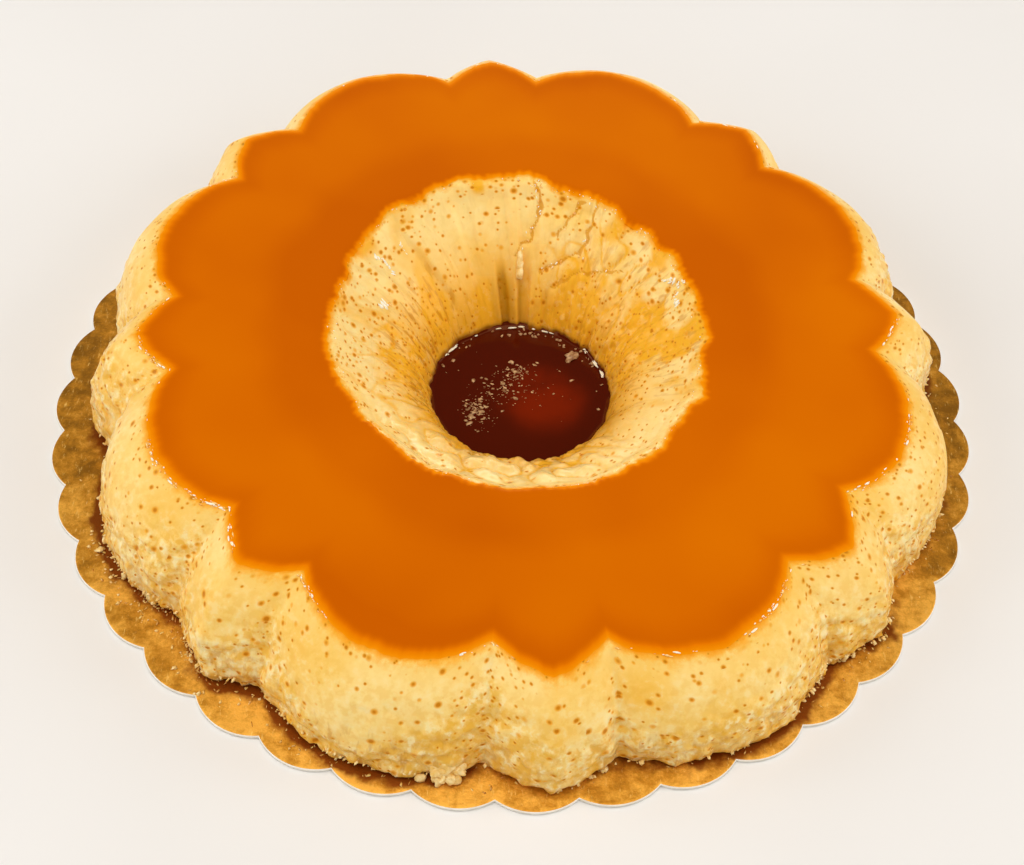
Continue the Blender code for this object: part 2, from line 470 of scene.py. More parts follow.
    def at(self, arc: float) -> tuple[float, float]:
        """Find a place on the section.

        Args:
            arc: Distance along it.

        Returns:
            The radius and the height there.
        """
        index = min(max(bisect_right(self.arcs, arc) - 1, 0), len(self.arcs) - 2)
        share = (arc - self.arcs[index]) / (self.arcs[index + 1] - self.arcs[index])
        (r0, h0), (r1, h1) = self.section[index], self.section[index + 1]
        return r0 + (r1 - r0) * share, h0 + (h1 - h0) * share

    def arc_at_radius(self, radius: float) -> float:
        """Find where the section first reaches a radius.

        Args:
            radius: The radius.

        Returns:
            The distance along the section.
        """
        index = next(index for index, (out, _) in enumerate(self.section) if out >= radius)
        (r0, _), (r1, _) = self.section[index - 1], self.section[index]
        start, end = self.arcs[index - 1], self.arcs[index]
        return start + (radius - r0) / (r1 - r0) * (end - start)

    def crest(self, turn: float, valley_in: float, rib_out: float, lobe_out: float) -> float:
        """Flute an outline.

        Args:
            turn: Turn from the first valley.
            valley_in: How far its valleys go in.
            rib_out: How far its narrow ribs come out.
            lobe_out: How far its wide lobes come out.

        Returns:
            The outline's distance from its mean radius.
        """
        margin = 0.0002
        turn = (turn + margin) % (2 * math.pi / self.repeats) - margin
        if turn < self.rib_span:
            across = min(abs(2 * turn / self.rib_span - 1), 1.0)
            return -valley_in + (valley_in + rib_out) * (1 - across**self.rib_point)
        across = abs(2 * (turn - self.rib_span) / self.lobe_span - 1)
        return -valley_in + (valley_in + lobe_out) * (1 - across**self.lobe_point)

    def from_valley(self, turn: float) -> float:
        """Measure how far a turn is from the nearest valley between flutes.

        Args:
            turn: Turn about the axis.

        Returns:
            Degrees, below 0 before the valley.
        """
        pitch = 360 / self.repeats
        place = math.degrees(turn - self.first_valley) % pitch
        return min((place, place - math.degrees(self.rib_span), place - pitch), key=abs)

    def valley(self, turn: float) -> float:
        """1 in the bottom of a valley between flutes, falling to 0 a few degrees to either side."""
        return ease(abs(self.from_valley(turn)), 4.0, 0.0)

    def settle(self, radius: float, turn: float, height: float) -> Vector:
        """Settle a point of the round, level ring on the fluted, sunken one.

        Args:
            radius: Its radius.
            turn: Its turn.
            height: Its height above the board.

        Returns:
            Its place.
        """
        angle = turn + self.first_valley
        depth = min(max(1 - height / self.ring_height, 0.0), 1.0)
        at_top = self.crest(turn, self.valley_in_top, self.rib_out_top, self.lobe_out_top)
        at_foot = self.crest(turn, self.valley_in_foot, self.rib_out_foot, self.lobe_out_foot)
        flute = at_top + (at_foot - at_top) * depth
        flute *= ease(radius, self.flutes_fade_to, self.flutes_fade_from)

        near_hole = 1 - ease(radius, self.hole_radius, self.flutes_fade_from)
        facet_share = (turn * self.facets / (2 * math.pi)) % 1 - 0.5
        facet = radius * (math.cos(math.pi / self.facets)
                          / math.cos(2 * math.pi * facet_share / self.facets) - 1)
        spread = math.cos(2 * (angle - self.oval_turn))
        lean = self.top_lean * math.cos(angle - self.top_lean_turn) * (1 - near_hole)
        radius += flute + self.oval * radius * spread
        radius += near_hole * facet + (near_hole * self.hole_oval * spread + lean) * (1 - depth)

        angle -= self.slip * max(math.cos(angle - self.slip_turn), 0.0) ** 3 * (1 - near_hole)
        x = radius * math.cos(angle) + near_hole * (self.hole_shift_x + self.hole_lean_x * depth)
        y = radius * math.sin(angle) + near_hole * (self.hole_shift_y + self.hole_lean_y * depth)
        level = self.caramel_level - self.board_top
        above = max(height - level, 0.0) / (self.ring_height - level)
        lift = (self.top_rise_x * x + self.top_rise_y * y) * above
        return Vector((self.axis_x + x, self.axis_y + y, self.board_top + height + lift))

    def on_section(self, arc: float, turn: float) -> Vector:
        """Place on the ring's plain surface at a distance along its section."""
        radius, height = self.at(arc)
        return self.settle(radius, turn, height)

    def from_axis(self, spot: Vector) -> float:
        """Level distance of a point from the ring's axis."""
        return math.hypot(spot.x - self.axis_x, spot.y - self.axis_y)

    def outward(self, spot: Vector) -> Vector:
        """Level direction from the ring's axis to a point."""
        return Vector((spot.x - self.axis_x, spot.y - self.axis_y, 0)).normalized()

    def crease_place(self, path: Path, share: float) -> tuple[float, float]:
        """Find a place on a crease.

        Args:
            path: The crease, in degrees and mm below the caramel's border.
            share: Share of the way along it.

        Returns:
            The distance along the section and the turn there.
        """
        before_end = 0.9999
        step, within = divmod(min(share, before_end) * (len(path) - 1), 1)
        (turn0, down0), (turn1, down1) = path[int(step)], path[int(step) + 1]
        arc = self.lip_arc - (down0 + (down1 - down0) * within) * MM
        return arc, math.radians(turn0 + (turn1 - turn0) * within)

    def crease(self, arc: float, turn: float) -> float:
        """Tell how deep in a crack of the hole's far wall a place is.

        Args:
            arc: Distance along the section.
            turn: Turn about the axis.

        Returns:
            1 in the middle of a crack, falling to 0 a millimetre to either side.
        """
        first, last = self.creased
        if not first < math.degrees(turn) < last:
            return 0.0
        swing, swing_size = 1.6, 4.0  # mm by which the cracks waver, and over what length
        here = Vector((math.degrees(turn) * self.degree, (self.lip_arc - arc) / MM, 0.0))
        here += Vector((swing * noise.noise(here / swing_size),
                        swing * noise.noise(here / swing_size + Vector((9, 9, 9))), 0.0))
        away = math.inf
        for path in self.creases:
            corners = [Vector((degrees * self.degree, down, 0.0)) for degrees, down in path]
            for start, end in zip(corners, corners[1:]):
                nearest, share = intersect_point_line(here, start, end)
                if share < 0:
                    nearest = start
                elif share > 1:
                    nearest = end
                away = min(away, (here - nearest).length)
        return ease(away, 1.3, 0.1)

    def bare(self, arc: float, turn: float) -> float:
        """Measure how far a place is from the caramel's ragged border.

        Args:
            arc: Distance along the section.
            turn: Turn about the axis.

        Returns:
            Metres, above 0 on bare custard and below 0 in caramel.
        """
        if arc < self.middle_arc:
            ragged = sum(bells(turn, self.drawn_back)) + ripples(turn, self.ragged_at_hole)
            ragged += 0.6 * noise.noise(polar(self.hole_radius, turn, arc) / 0.0017)
            return self.lip_arc - arc + ragged * MM
        ragged = 1.2 * self.valley(turn) + ripples(turn, self.ragged_at_rim)
        return arc - self.rim_arc + ragged * MM


# ---------------------------------------------------------------------------------------------
# Finishes
# ---------------------------------------------------------------------------------------------


@dataclass(frozen=True)
class BakedCustard:
    """Baked egg custard, set against a tin mould: smooth and wet, with caramel-brown bubble pits.

    Light enters a few millimetres, which makes it glow warm. The brown is caramel that crept into
    the bubbles on the mould's wall and into cracks.
    """

    pale: str = "#fede90"
    body: str = "#fbd174"
    deep: str = "#f7c45a"
    milky: str = "#fbe6a6"
    cream: str = "#ffedb4"
    gold: str = "#ecb02e"
    painted_shade_grey: str = "#c8a058"
    amber: str = "#f3b01a"
    brown: str = "#c27a10"
    soaked: str = "#6e2c06"
    halo: str = "#efa526"
    pit: str = "#c67602"
    crack: str = "#dc961a"
    fold_shade_colour: str = "#b07606"
    stain: tuple[str, ...] = ("#f3920a", "#f8a51e", "#fbb83c")  # from the caramel's border outwards
    sheen: str = "#ffd07a"
    wet_roughness: float = 0.16
    dry_roughness: float = 0.58
    ior: float = 1.42
    light_depth: float = 2.5 * MM
    relief: float = 0.4 * MM
    # Bubble pits: spacing in mm, radius as a share of it, and how common they are everywhere.
    pit_sizes: tuple[tuple[float, float, float], ...] = ((5.4, 0.28, 0.32), (3.3, 0.33, 0.06),
                                                         (2.1, 0.36, -0.05))

    def material(self) -> bpy.types.Material:
        """Build the material, which reads the attributes that CustardRing gives its mesh.

        Returns:
            The material.
        """
        material, tree, shader, place = start_material("baked_egg_custard")
        mark = {name: add(tree, "Attribute", attribute_name=name).outputs["Fac"]
                for name in CustardRing.marks}
        flow = add(tree, "Attribute", attribute_name="flow").outputs["Vector"]

        # Body: pale and deep clouds, milky curds with painted grey shade in their hollows, and caramel
        # soaked in from the hole.
        colour = add(tree, "ValToRGB", {"Fac": mark["cloud"]},
                     stops=((0.25, self.deep), (0.5, self.body), (0.75, self.pale)))
        colour = self._over(tree, colour, ((self.milky, mark["milky"], 0.8),
                                           (self.painted_shade_grey, mark["hollow"], 0.6),
                                           (self.amber, mark["amber"], 0.95)))

        # Curd grain: cream on the bumps and gold in the hollows between them.
        curd = add(tree, "TexNoise", {"Vector": place, "Scale": grain(2.8), "Detail": 3.0,
                                      "Roughness": 0.6})
        speckled = add(tree, "MapRange", {"Value": mark["curdled"], "To Min": 0.12, "To Max": 1.0})
        for tint, end in ((self.gold, 0.38), (self.cream, 0.66)):
            where = add(tree, "MapRange", {"Value": curd, "From Min": 0.53, "From Max": end}, **SMOOTH)
            where = add(tree, "Math", {"Value": where, "Value_001": speckled}, operation="MULTIPLY")
            colour = self._over(tree, colour, ((tint, where, 0.7),))

        # Cracks with caramel in them, fraying at their sides.
        ragged = add(tree, "TexNoise", {"Vector": flow, "Scale": grain(1.6), "Detail": 3.0,
                                        "Roughness": 0.7})
        cracks = add(tree, "Math", {"Value": ragged, "Value_001": 0.9, "Value_002": mark["cracked"]},
                     operation="MULTIPLY_ADD")
        cracks = add(tree, "MapRange", {"Value": cracks, "From Min": 0.95, "From Max": 1.3}, **SMOOTH)
        colour = self._over(tree, colour, ((self.crack, cracks, 0.8),))

        # Fine brown runs down the walls, and a stain that fades away from the caramel.
        runs_down = add(tree, "Mapping", {"Vector": flow, "Scale": (1.0, 1.0, 0.28)})
        runs = add(tree, "TexNoise", {"Vector": runs_down, "Scale": grain(1.9), "Detail": 2.0,
                                      "Roughness": 0.6})
        runs = add(tree, "MapRange", {"Value": runs, "From Min": 0.52, "From Max": 0.66}, **SMOOTH)
        runs = add(tree, "Math", {"Value": runs, "Value_001": mark["streaked"]}, operation="MULTIPLY")
        colour = self._over(tree, colour, ((self.brown, runs, 0.65),))
        reach = add(tree, "TexNoise", {"Vector": flow, "Scale": grain(3.6), "Detail": 4.0,
                                       "Roughness": 0.7})
        reach = add(tree, "MapRange", {"Value": reach, "From Min": 0.32, "From Max": 0.68, "To Min": 1.8,
                                       "To Max": 7.5})
        share = add(tree, "Math", {"Value": mark["bare"], "Value_001": reach}, operation="DIVIDE")
        stain = add(tree, "ValToRGB", {"Fac": share}, stops=tuple(zip((0.0, 0.25, 0.6), self.stain)))
        fading = add(tree, "MapRange", {"Value": share, "From Min": 1.0, "From Max": 0.0}, **SMOOTH)
        colour = output(add(tree, "Mix", {"Factor": fading, "A": colour, "B": stain}, data_type="RGBA"))

        # Bubble pits with a caramel ring round each, painted shade in the pleats' folds, and custard soaked
        # by the pool.
        pits = self._pits(tree, flow, mark["pitted"])
        ring = add(tree, "MapRange", {"Value": pits, "From Min": 0.0, "From Max": 0.5}, **SMOOTH)
        middle = add(tree, "MapRange", {"Value": pits, "From Min": 0.38, "From Max": 0.85}, **SMOOTH)
        colour = self._over(tree, colour, ((self.halo, ring, 0.85), (self.pit, middle, 0.9),
                                           (self.fold_shade_colour, mark["folded"], 0.75),
                                           (self.soaked, mark["soaked"], 0.9)))

        # Relief finer than the mesh: curd grain and sunken pits.
        height = add(tree, "Math", {"Value": curd, "Value_001": speckled}, operation="MULTIPLY")
        height = add(tree, "Math", {"Value": pits, "Value_001": -0.4, "Value_002": height},
                     operation="MULTIPLY_ADD")
        wet = add(tree, "MapRange", {"Value": mark["wet"], "To Min": self.dry_roughness,
                                     "To Max": self.wet_roughness})
        connect(tree, shader, {
            "Base Color": colour,
            "Normal": add(tree, "Bump", {"Strength": 1.0, "Distance": self.relief, "Height": height}),
            "Roughness": wet,
            "IOR": self.ior,
            "Specular Tint": self.sheen,
            "Subsurface Weight": 0.18,
            "Subsurface Radius": (1.0, 0.55, 0.20),
            "Subsurface Scale": self.light_depth,
        })
        return material

    def _over(self, tree: bpy.types.NodeTree, under: Any,
              layers: Sequence[tuple[str, Any, float]]) -> bpy.types.NodeSocket:
        """Lay colours over another, one after the other.

        Args:
            tree: The material's node tree.
            under: The colour below, a node or an output.
            layers: Each layer's colour, where it lies, 0 to 1, and how fully it covers at most.

        Returns:
            The mixed colour's output.
        """
        for colour, mask, strength in layers:
            share = add(tree, "Math", {"Value": mask, "Value_001": strength}, operation="MULTIPLY",
                        use_clamp=True)
            under = output(add(tree, "Mix", {"Factor": share, "A": under, "B": colour}, data_type="RGBA"))
        return under

    def _pits(self, tree: bpy.types.NodeTree, flow: Any, crowd: Any) -> bpy.types.Node:
        """Bubble pits in three sizes: 0 outside them, 1 in their middles.

        Args:
            tree: The material's node tree.
            flow: Coordinates along the wall.
            crowd: How many pits there are, 0 to 1.

        Returns:
            The node with the pits' depth.
        """
        pits = None
        for spacing, radius, everywhere in self.pit_sizes:
            cells = add(tree, "TexVoronoi", {"Vector": flow, "Scale": grain(spacing), "Randomness": 0.9},
                        feature="F1")
            chance = add(tree, "SeparateColor", {"Color": cells.outputs["Color"]})
            reach = add(tree, "MapRange", {"Value": chance.outputs[0], "To Min": 0.65 * radius,
                                           "To Max": radius})
            inside = add(tree, "Math", {"Value": cells.outputs["Distance"], "Value_001": reach},
                         operation="DIVIDE")
            dot = add(tree, "MapRange", {"Value": inside, "From Min": 1.0, "From Max": 0.15})
            share = add(tree, "Math", {"Value": crowd, "Value_001": everywhere}, operation="ADD")
            kept = add(tree, "Math", {"Value": chance.outputs[1], "Value_001": share},
                       operation="LESS_THAN")
            dot = add(tree, "Math", {"Value": dot, "Value_001": kept}, operation="MULTIPLY")
            if pits is not None:
                dot = add(tree, "Math", {"Value": pits, "Value_001": dot}, operation="MAXIMUM")
            pits = dot
        return pits


@dataclass(frozen=True)
class SoakedCaramel:
    """Thin caramel syrup on and in the custard's top: satin, deep orange, glowing where it thins."""

    deep: str = "#c65b00"
    body: str = "#d16600"
    light: str = "#d97000"
    border: tuple[str, ...] = ("#f3930a", "#ec8402", "#df7300", "#d26600")  # from its edge inwards
    roughness: float = 0.36
    border_roughness: float = 0.85
    sheen: str = "#ffb43c"

    def material(self) -> bpy.types.Material:
        """Build the material, which reads the attributes film, the mm in from its border, and tone.

        Returns:
            The material.
        """
        material, tree, shader, place = start_material("soaked_caramel")
        film = add(tree, "Attribute", attribute_name="film").outputs["Fac"]
        tone = add(tree, "Attribute", attribute_name="tone").outputs["Fac"]
        clouds = add(tree, "TexNoise", {"Vector": place, "Scale": grain(58), "Detail": 2.0,
                                        "Roughness": 0.45})
        tone = add(tree, "Math", {"Value": clouds, "Value_001": 0.6, "Value_002": tone},
                   operation="MULTIPLY_ADD")
        body = add(tree, "ValToRGB", {"Fac": tone},
                   stops=((0.34, self.deep), (0.52, self.body), (0.72, self.light)))
        depth = add(tree, "MapRange", {"Value": film, "From Min": -0.4, "From Max": 4.4})
        edge = add(tree, "ValToRGB", {"Fac": depth}, stops=tuple(zip((0.0, 0.22, 0.5, 0.85), self.border)))
        thick = add(tree, "MapRange", {"Value": depth, "From Min": 0.3, "From Max": 1.0}, **SMOOTH)
        connect(tree, shader, {
            "Base Color": add(tree, "Mix", {"Factor": thick, "A": edge, "B": body}, data_type="RGBA"),
            "Roughness": add(tree, "MapRange", {"Value": film, "From Min": 2.0, "From Max": 0.0,
                                                "To Min": self.roughness, "To Max": self.border_roughness}),
            "Specular IOR Level": 0.02,
            "Specular Tint": self.sheen,
            "IOR": 1.45,
        })
        return material


@dataclass(frozen=True)
class LiquidCaramel:
    """Burnt-sugar syrup standing in the hole: almost black-red, clear and mirror smooth."""

    body: str = "#4e1102"
    # a painted glow of light in the syrup, a little right of the middle
    glow: str = "#7a1e02"
    sheen: str = "#ffb478"
    roughness: float = 0.05
    glow_place: tuple[float, float] = (0.009, -0.002)  # a little right of the middle
    glow_radius: float = 0.020

    def material(self) -> bpy.types.Material:
        """Build the material.

        Returns:
            The material.
        """
        material, tree, shader, place = start_material("liquid_caramel")
        across, back = (-offset / self.glow_radius for offset in self.glow_place)
        centred = add(tree, "Mapping", {"Vector": place, "Location": (across, back, 0.0),
                                        "Scale": (1 / self.glow_radius, 1 / self.glow_radius, 0.0)})
        ball = add(tree, "TexGradient", {"Vector": centred}, gradient_type="SPHERICAL")
        cloud = add(tree, "TexNoise", {"Vector": place, "Scale": grain(14), "Detail": 2.0})
        glow = add(tree, "Math", {"Value": ball, "Value_001": cloud}, operation="MULTIPLY")
        glow = add(tree, "MapRange", {"Value": glow, "From Min": 0.0, "From Max": 0.5},
                   interpolation_type="SMOOTHERSTEP")
        connect(tree, shader, {
            "Base Color": add(tree, "Mix", {"Factor": glow, "A": self.body, "B": self.glow},
                              data_type="RGBA"),
            "Roughness": self.roughness,
            "Specular IOR Level": 0.3,
            "Specular Tint": self.sheen,
            "IOR": 1.48,
        })
        return material


@dataclass(frozen=True)
class GoldFoil:
    """Gold-lacquered aluminium foil laminated on card, scuffed, with syrup dried on it."""

    bright: str = "#f4b64a"
    body: str = "#c68726"
    smear: str = "#96641a"
    # dried syrup, and painted shadow along the ring's foot
    syrup: str = "#84400a"
    scuff_glint: str = "#fbd070"
    sheen: str = "#ffd890"
    crinkle: float = 0.3 * MM

    def material(self) -> bpy.types.Material:
        """Build the material, which reads the attribute seep_and_shade, 1 where syrup and painted shadow
        lie against the ring.

        Returns:
            The material.
        """
        material, tree, shader, place = start_material("gold_foil")
        seep_and_shade = add(tree, "Attribute", attribute_name="seep_and_shade").outputs["Fac"]

        # Blotches with painted light that makes the front lighter, and scuffs in two directions over them,
        # which are wear painted bright as glints.
        wide = add(tree, "TexNoise", {"Vector": place, "Scale": grain(22), "Detail": 4.0, "Roughness": 0.6})
        painted_front_light = add(tree, "SeparateXYZ", {"Vector": place}).outputs["Y"]
        painted_front_light = add(tree, "MapRange", {"Value": painted_front_light, "From Min": 0.02, "From Max": -0.10,
                                         "To Min": -0.05, "To Max": 0.07}, **SMOOTH)
        fine = add(tree, "TexNoise", {"Vector": place, "Scale": grain(4.5), "Detail": 5.0,
                                      "Roughness": 0.75})
        fine = add(tree, "Math", {"Value": fine, "Value_001": 0.6, "Value_002": painted_front_light},
                   operation="MULTIPLY_ADD")
        wide = add(tree, "Math", {"Value": wide, "Value_001": 0.5, "Value_002": fine},
                   operation="MULTIPLY_ADD")
        colour = add(tree, "ValToRGB", {"Fac": wide},
                     stops=((0.44, self.smear), (0.56, self.body), (0.70, self.bright)))
        for turn, start in ((0.5, 0.60), (1.9, 0.62)):
            drawn = add(tree, "Mapping", {"Vector": place, "Rotation": (0.0, 0.0, turn),
                                          "Scale": (1.0, 0.28, 1.0)})
            scuffs = add(tree, "TexNoise", {"Vector": drawn, "Scale": grain(1.3), "Detail": 4.0,
                                            "Roughness": 0.7})
            scuff_glint = add(tree, "MapRange", {"Value": scuffs, "From Min": start, "From Max": start + 0.12,
                                           "To Max": 0.8})
            colour = add(tree, "Mix", {"Factor": scuff_glint, "A": colour, "B": self.scuff_glint}, data_type="RGBA")

        # Syrup that has crept out from under the ring, with painted shadow along the ring's foot.
        ragged = add(tree, "TexNoise", {"Vector": place, "Scale": grain(6), "Detail": 4.0})
        syrup_and_shadow = add(tree, "Math", {"Value": seep_and_shade, "Value_001": ragged}, operation="ADD")
        syrup_and_shadow = add(tree, "MapRange", {"Value": syrup_and_shadow, "From Min": 0.64, "From Max": 0.96}, **SMOOTH)

        rough = add(tree, "MapRange", {"Value": wide, "From Min": 0.3, "From Max": 0.7, "To Min": 0.30,
                                       "To Max": 0.52})
        crinkle = add(tree, "TexNoise", {"Vector": place, "Scale": grain(2.6), "Detail": 5.0,
                                         "Roughness": 0.7})
        connect(tree, shader, {
            "Base Color": add(tree, "Mix", {"Factor": syrup_and_shadow, "A": colour, "B": self.syrup},
                              data_type="RGBA"),
            "Roughness": rough,
            "Metallic": 0.6,
            "Specular Tint": self.sheen,
            "Normal": add(tree, "Bump", {"Strength": 0.8, "Distance": self.crinkle, "Height": crinkle}),
        })
        return material


@dataclass(frozen=True)
class PlainFinish:
    """A finish with one clouded colour, for small or hidden surfaces."""

    name: str
    dark: str
    light: str
    roughness: float
    cloud: float = 3.0  # mm
    coat: float = 0.0
    coat_roughness: float = 0.1

    def material(self) -> bpy.types.Material:
        """Build the material.

        Returns:
            The material.
        """
        material, tree, shader, place = start_material(self.name)
        cloud = add(tree, "TexNoise", {"Vector": place, "Scale": grain(self.cloud), "Detail": 3.0})
        connect(tree, shader, {
            "Base Color": add(tree, "ValToRGB", {"Fac": cloud},
                              stops=((0.35, self.dark), (0.65, self.light))),
            "Roughness": self.roughness,
            "Coat Weight": self.coat,
            "Coat Roughness": self.coat_roughness,
        })
        return material


# ---------------------------------------------------------------------------------------------
# Pieces
# ---------------------------------------------------------------------------------------------


@dataclass
class CustardRing:
    """The custard ring with its curdled wall, ragged foot and creased hole.

    Its reliefs are sums of noises: a height in millimetres, times the noise at the spot over the
    noise's size in metres.
    """

    form: RingForm
    wall_columns: int = 960
    hole_columns: int = 480
    wall_spacing: float = 0.78 * MM
    hole_spacing: float = 0.8 * MM
    seam_in: float = 0.080  # radii between which the two strips are joined, under the caramel
    seam_out: float = 0.100
    crisp: float = 1.5  # how much faster the stain fades in the hole than on the wall
    flow_in_hole: float = 0.045  # radii on which the patterns along the two walls are laid out
    flow_on_wall: float = 0.13
    near_side: float = 268  # degrees; the hole's wall is wrinkled there
    left_side: tuple[float, float] = (168, 60)  # middles and half widths of the hole's two sides
    right_side: tuple[float, float] = (22, 62)
    curdled_sides: Bells = ((1.0, 42, 50), (0.9, 268, 62), (0.6, 205, 60))
    pleats: Bells = ((1.0, 90, 4.5), (0.7, 101, 3.2), (0.4, 76, 4))  # folds that end at the pool
    # Ridges down the hole: middle and half width in degrees, mm they stand out, and degrees they lean.
    ridges: tuple[tuple[float, float, float, float], ...] = (
        (133, 7, 1.3, 12), (158, 7, 1.2, 8), (112, 4, -0.5, 0), (95, 3, 1.1, 3), (82, 3, 0.5, 0),
        (62, 3, 0.4, 0))
    marks: ClassVar[tuple[str, ...]] = ("bare", "pitted", "streaked", "curdled", "amber", "cloud", "milky",
                                        "hollow", "soaked", "wet", "cracked", "folded")

    def curdled_on_wall(self, turn: float, down: float) -> float:
        """Tell how curdled the outer wall is.

        Args:
            turn: Turn about the axis.
            down: Share of the way down the wall.

        Returns:
            0 where it is smooth, 1 where it is all curds.
        """
        start = 0.40 - 0.20 * wander(turn, 26, 11) - 0.14 * self.form.valley(turn)
        start -= 0.16 * near_turn(turn, 195, 60)
        return ease(down, start, start + 0.30)

    def curdled_in_hole(self, turn: float, down: float) -> float:
        """How curdled the hole's wall is, 0 to 1, at a turn and a share of the way down it."""
        side = max(bells(turn, self.curdled_sides))
        return min(1.0, side * ease(down, 0.04, 0.22) + 0.2 * ease(down, 0.5, 0.8))

    def wall_relief(self, spot: Vector, turn: float, down: float, curdled: float) -> float:
        """Shape the outer wall: waves, curdled lumps, torn patches and creased valleys.

        Args:
            spot: Place on the plain wall.
            turn: Its turn.
            down: Share of the way down the wall.
            curdled: How curdled it is there, 0 to 1.

        Returns:
            Millimetres out of the custard.
        """
        waves = 0.50 * noise.noise(spot / 0.030) + 0.22 * noise.noise(spot / 0.011)
        lumps = 2.2 * abs(noise.noise(spot / 0.0076)) + 1.1 * abs(noise.noise(spot / 0.0036)) - 0.75
        grit = crumbly(spot / 0.0022)
        torn = ease(noise.noise(spot / 0.0095 + Vector((5, 1, 3))), 0.08, 0.14) * ease(down, 0.22, 0.40)
        crease = -0.55 * self.form.valley(turn) ** 4 * ease(down, 0.02, 0.2)
        return (waves + curdled * (0.85 * lumps + 0.15 * grit) - 0.40 * torn + crease
                + self.skin_step(turn)) * ease(down, 0.0, 0.14)

    def skin_step(self, turn: float) -> float:
        """Step in the skin beside a valley, where it tore from the mould.

        Args:
            turn: Turn about the axis.

        Returns:
            Its height in millimetres.
        """
        away = self.form.from_valley(turn)
        lift = 0.9 * wander(turn - math.radians(away), 9, 17)
        return lift * ease(away, -0.12, 0.12) * ease(abs(away), 5.0, 0.4)

    def fringe(self, spot: Vector, down: float) -> float:
        """Crumble the wall's foot.

        Args:
            spot: Place on the plain wall.
            down: Share of the way down the wall.

        Returns:
            Metres that it sticks out.
        """
        torn = 0.35 + 0.65 * max(bells(turn_of(spot), self.form.crumbling))
        teeth = max(noise.noise(spot / 0.0018 + Vector((9, 2, 4))) + 0.1, 0.0)
        ragged = 1.1 * max(noise.noise(spot / 0.0042), 0.0) + 0.8 * torn * teeth
        ragged += 0.5 * noise.noise(spot / 0.009)
        return 1.7 * MM * ragged * ease(down, 0.84, 0.97)

    def hole_relief(self, spot: Vector, along: Vector, turn: float, down: float, curdled: float) -> float:
        """Shape the hole's wall: waves, curdled lumps, pleats, ridges, wrinkles and cracks.

        Args:
            spot: Place on the plain wall.
            along: The same in coordinates along the wall.
            turn: Its turn.
            down: Share of the way down the wall.
            curdled: How curdled it is there, 0 to 1.

        Returns:
            Millimetres out of the custard.
        """
        curds = self.lump_height(along)
        waves = 0.40 * noise.noise(spot / 0.020) + 0.18 * noise.noise(spot / 0.008)
        lumps = 2.3 * curds + 1.0 * abs(noise.noise(along / 0.0029)) - 0.8
        ridges = sum(lift * near_turn(turn + math.radians(lean * down), centre, width) ** 2
                     for centre, width, lift, lean in self.ridges)
        wrinkles = near_turn(turn, self.near_side, 50) * (1.8 * curds - 0.4) * ease(down, 0.06, 0.25)
        relief = waves + 0.8 * curdled * lumps + 2.0 * self.pleat(turn, down)
        relief += ridges * ease(down, 0.9, 0.4) + wrinkles
        relief -= 0.55 * self.form.crease(self.form.lip_arc * (1 - down), turn)
        return relief * ease(down, 0.0, 0.20 - 0.12 * near_turn(turn, self.near_side, 60))

    def pleat(self, turn: float, down: float) -> float:
        """Pleats that run down to the pool on the hole's far wall, from about -1 in their folds to 1."""
        swing = 0.6 * wander(turn, 60, 21) * near_turn(turn, 92, 26)
        return (swing - sum(bells(turn, self.pleats))) * ease(down, 0.40, 0.75)

    def lump_height(self, along: Vector) -> float:
        """Rounded lumps of curd with sharp creases between them, 0 in the creases."""
        return abs(noise.noise(along / 0.0066))

    def build(self) -> bmesh.types.BMesh:
        """Make the ring from a strip for the hole and a finer one for the wall, bridged at both ends.

        Returns:
            The closed ring with its attributes.
        """
        form = self.form
        shape = bmesh.new()
        hole_rows = spaced(0.0, form.lip_arc + 3 * MM, self.hole_spacing)
        wall_rows = spaced(form.rim_arc - 4 * MM, form.length, self.wall_spacing)
        turned(shape, hole_rows + [form.arc_at_radius(self.seam_in)], self.hole_columns)
        turned(shape, [form.arc_at_radius(self.seam_out)] + wall_rows, self.wall_columns)
        along = shape.verts.layers.float["along"]
        open_edges = [edge for edge in shape.edges if edge.is_boundary]
        top = {edge for edge in open_edges if abs(edge.verts[0][along] - form.middle_arc) < 15 * MM}
        for loops in ([edge for edge in open_edges if edge in top],
                      [edge for edge in open_edges if edge not in top]):
            bmesh.ops.bridge_loops(shape, edges=loops, use_pairs=False, use_cyclic=False, use_merge=False,
                                   merge_factor=0.5, twist_offset=0)
        layers = {name: shape.verts.layers.float.new(name) for name in self.marks}
        flow = shape.verts.layers.float_vector.new("flow")
        turns = {vertex: turn_of(vertex.co) for vertex in shape.verts}
        for vertex, turn in turns.items():
            vertex.co = form.on_section(vertex[along], turn)
        face_outwards(shape)
        shape.normal_update()
        normals = {vertex: vertex.normal.copy() for vertex in shape.verts}
        for vertex, turn in turns.items():
            arc = vertex[along]
            in_hole = arc < form.middle_arc
            dress = self._dress_hole if in_hole else self._dress_wall
            marks = dress(vertex, turn, arc, normals[vertex], flow)
            marks["bare"] = form.bare(arc, turn) / MM * (self.crisp if in_hole else 1.0)
            for name, value in marks.items():
                vertex[layers[name]] = value
            vertex.co.z = max(vertex.co.z, form.board_top + form.gap)
        return shape

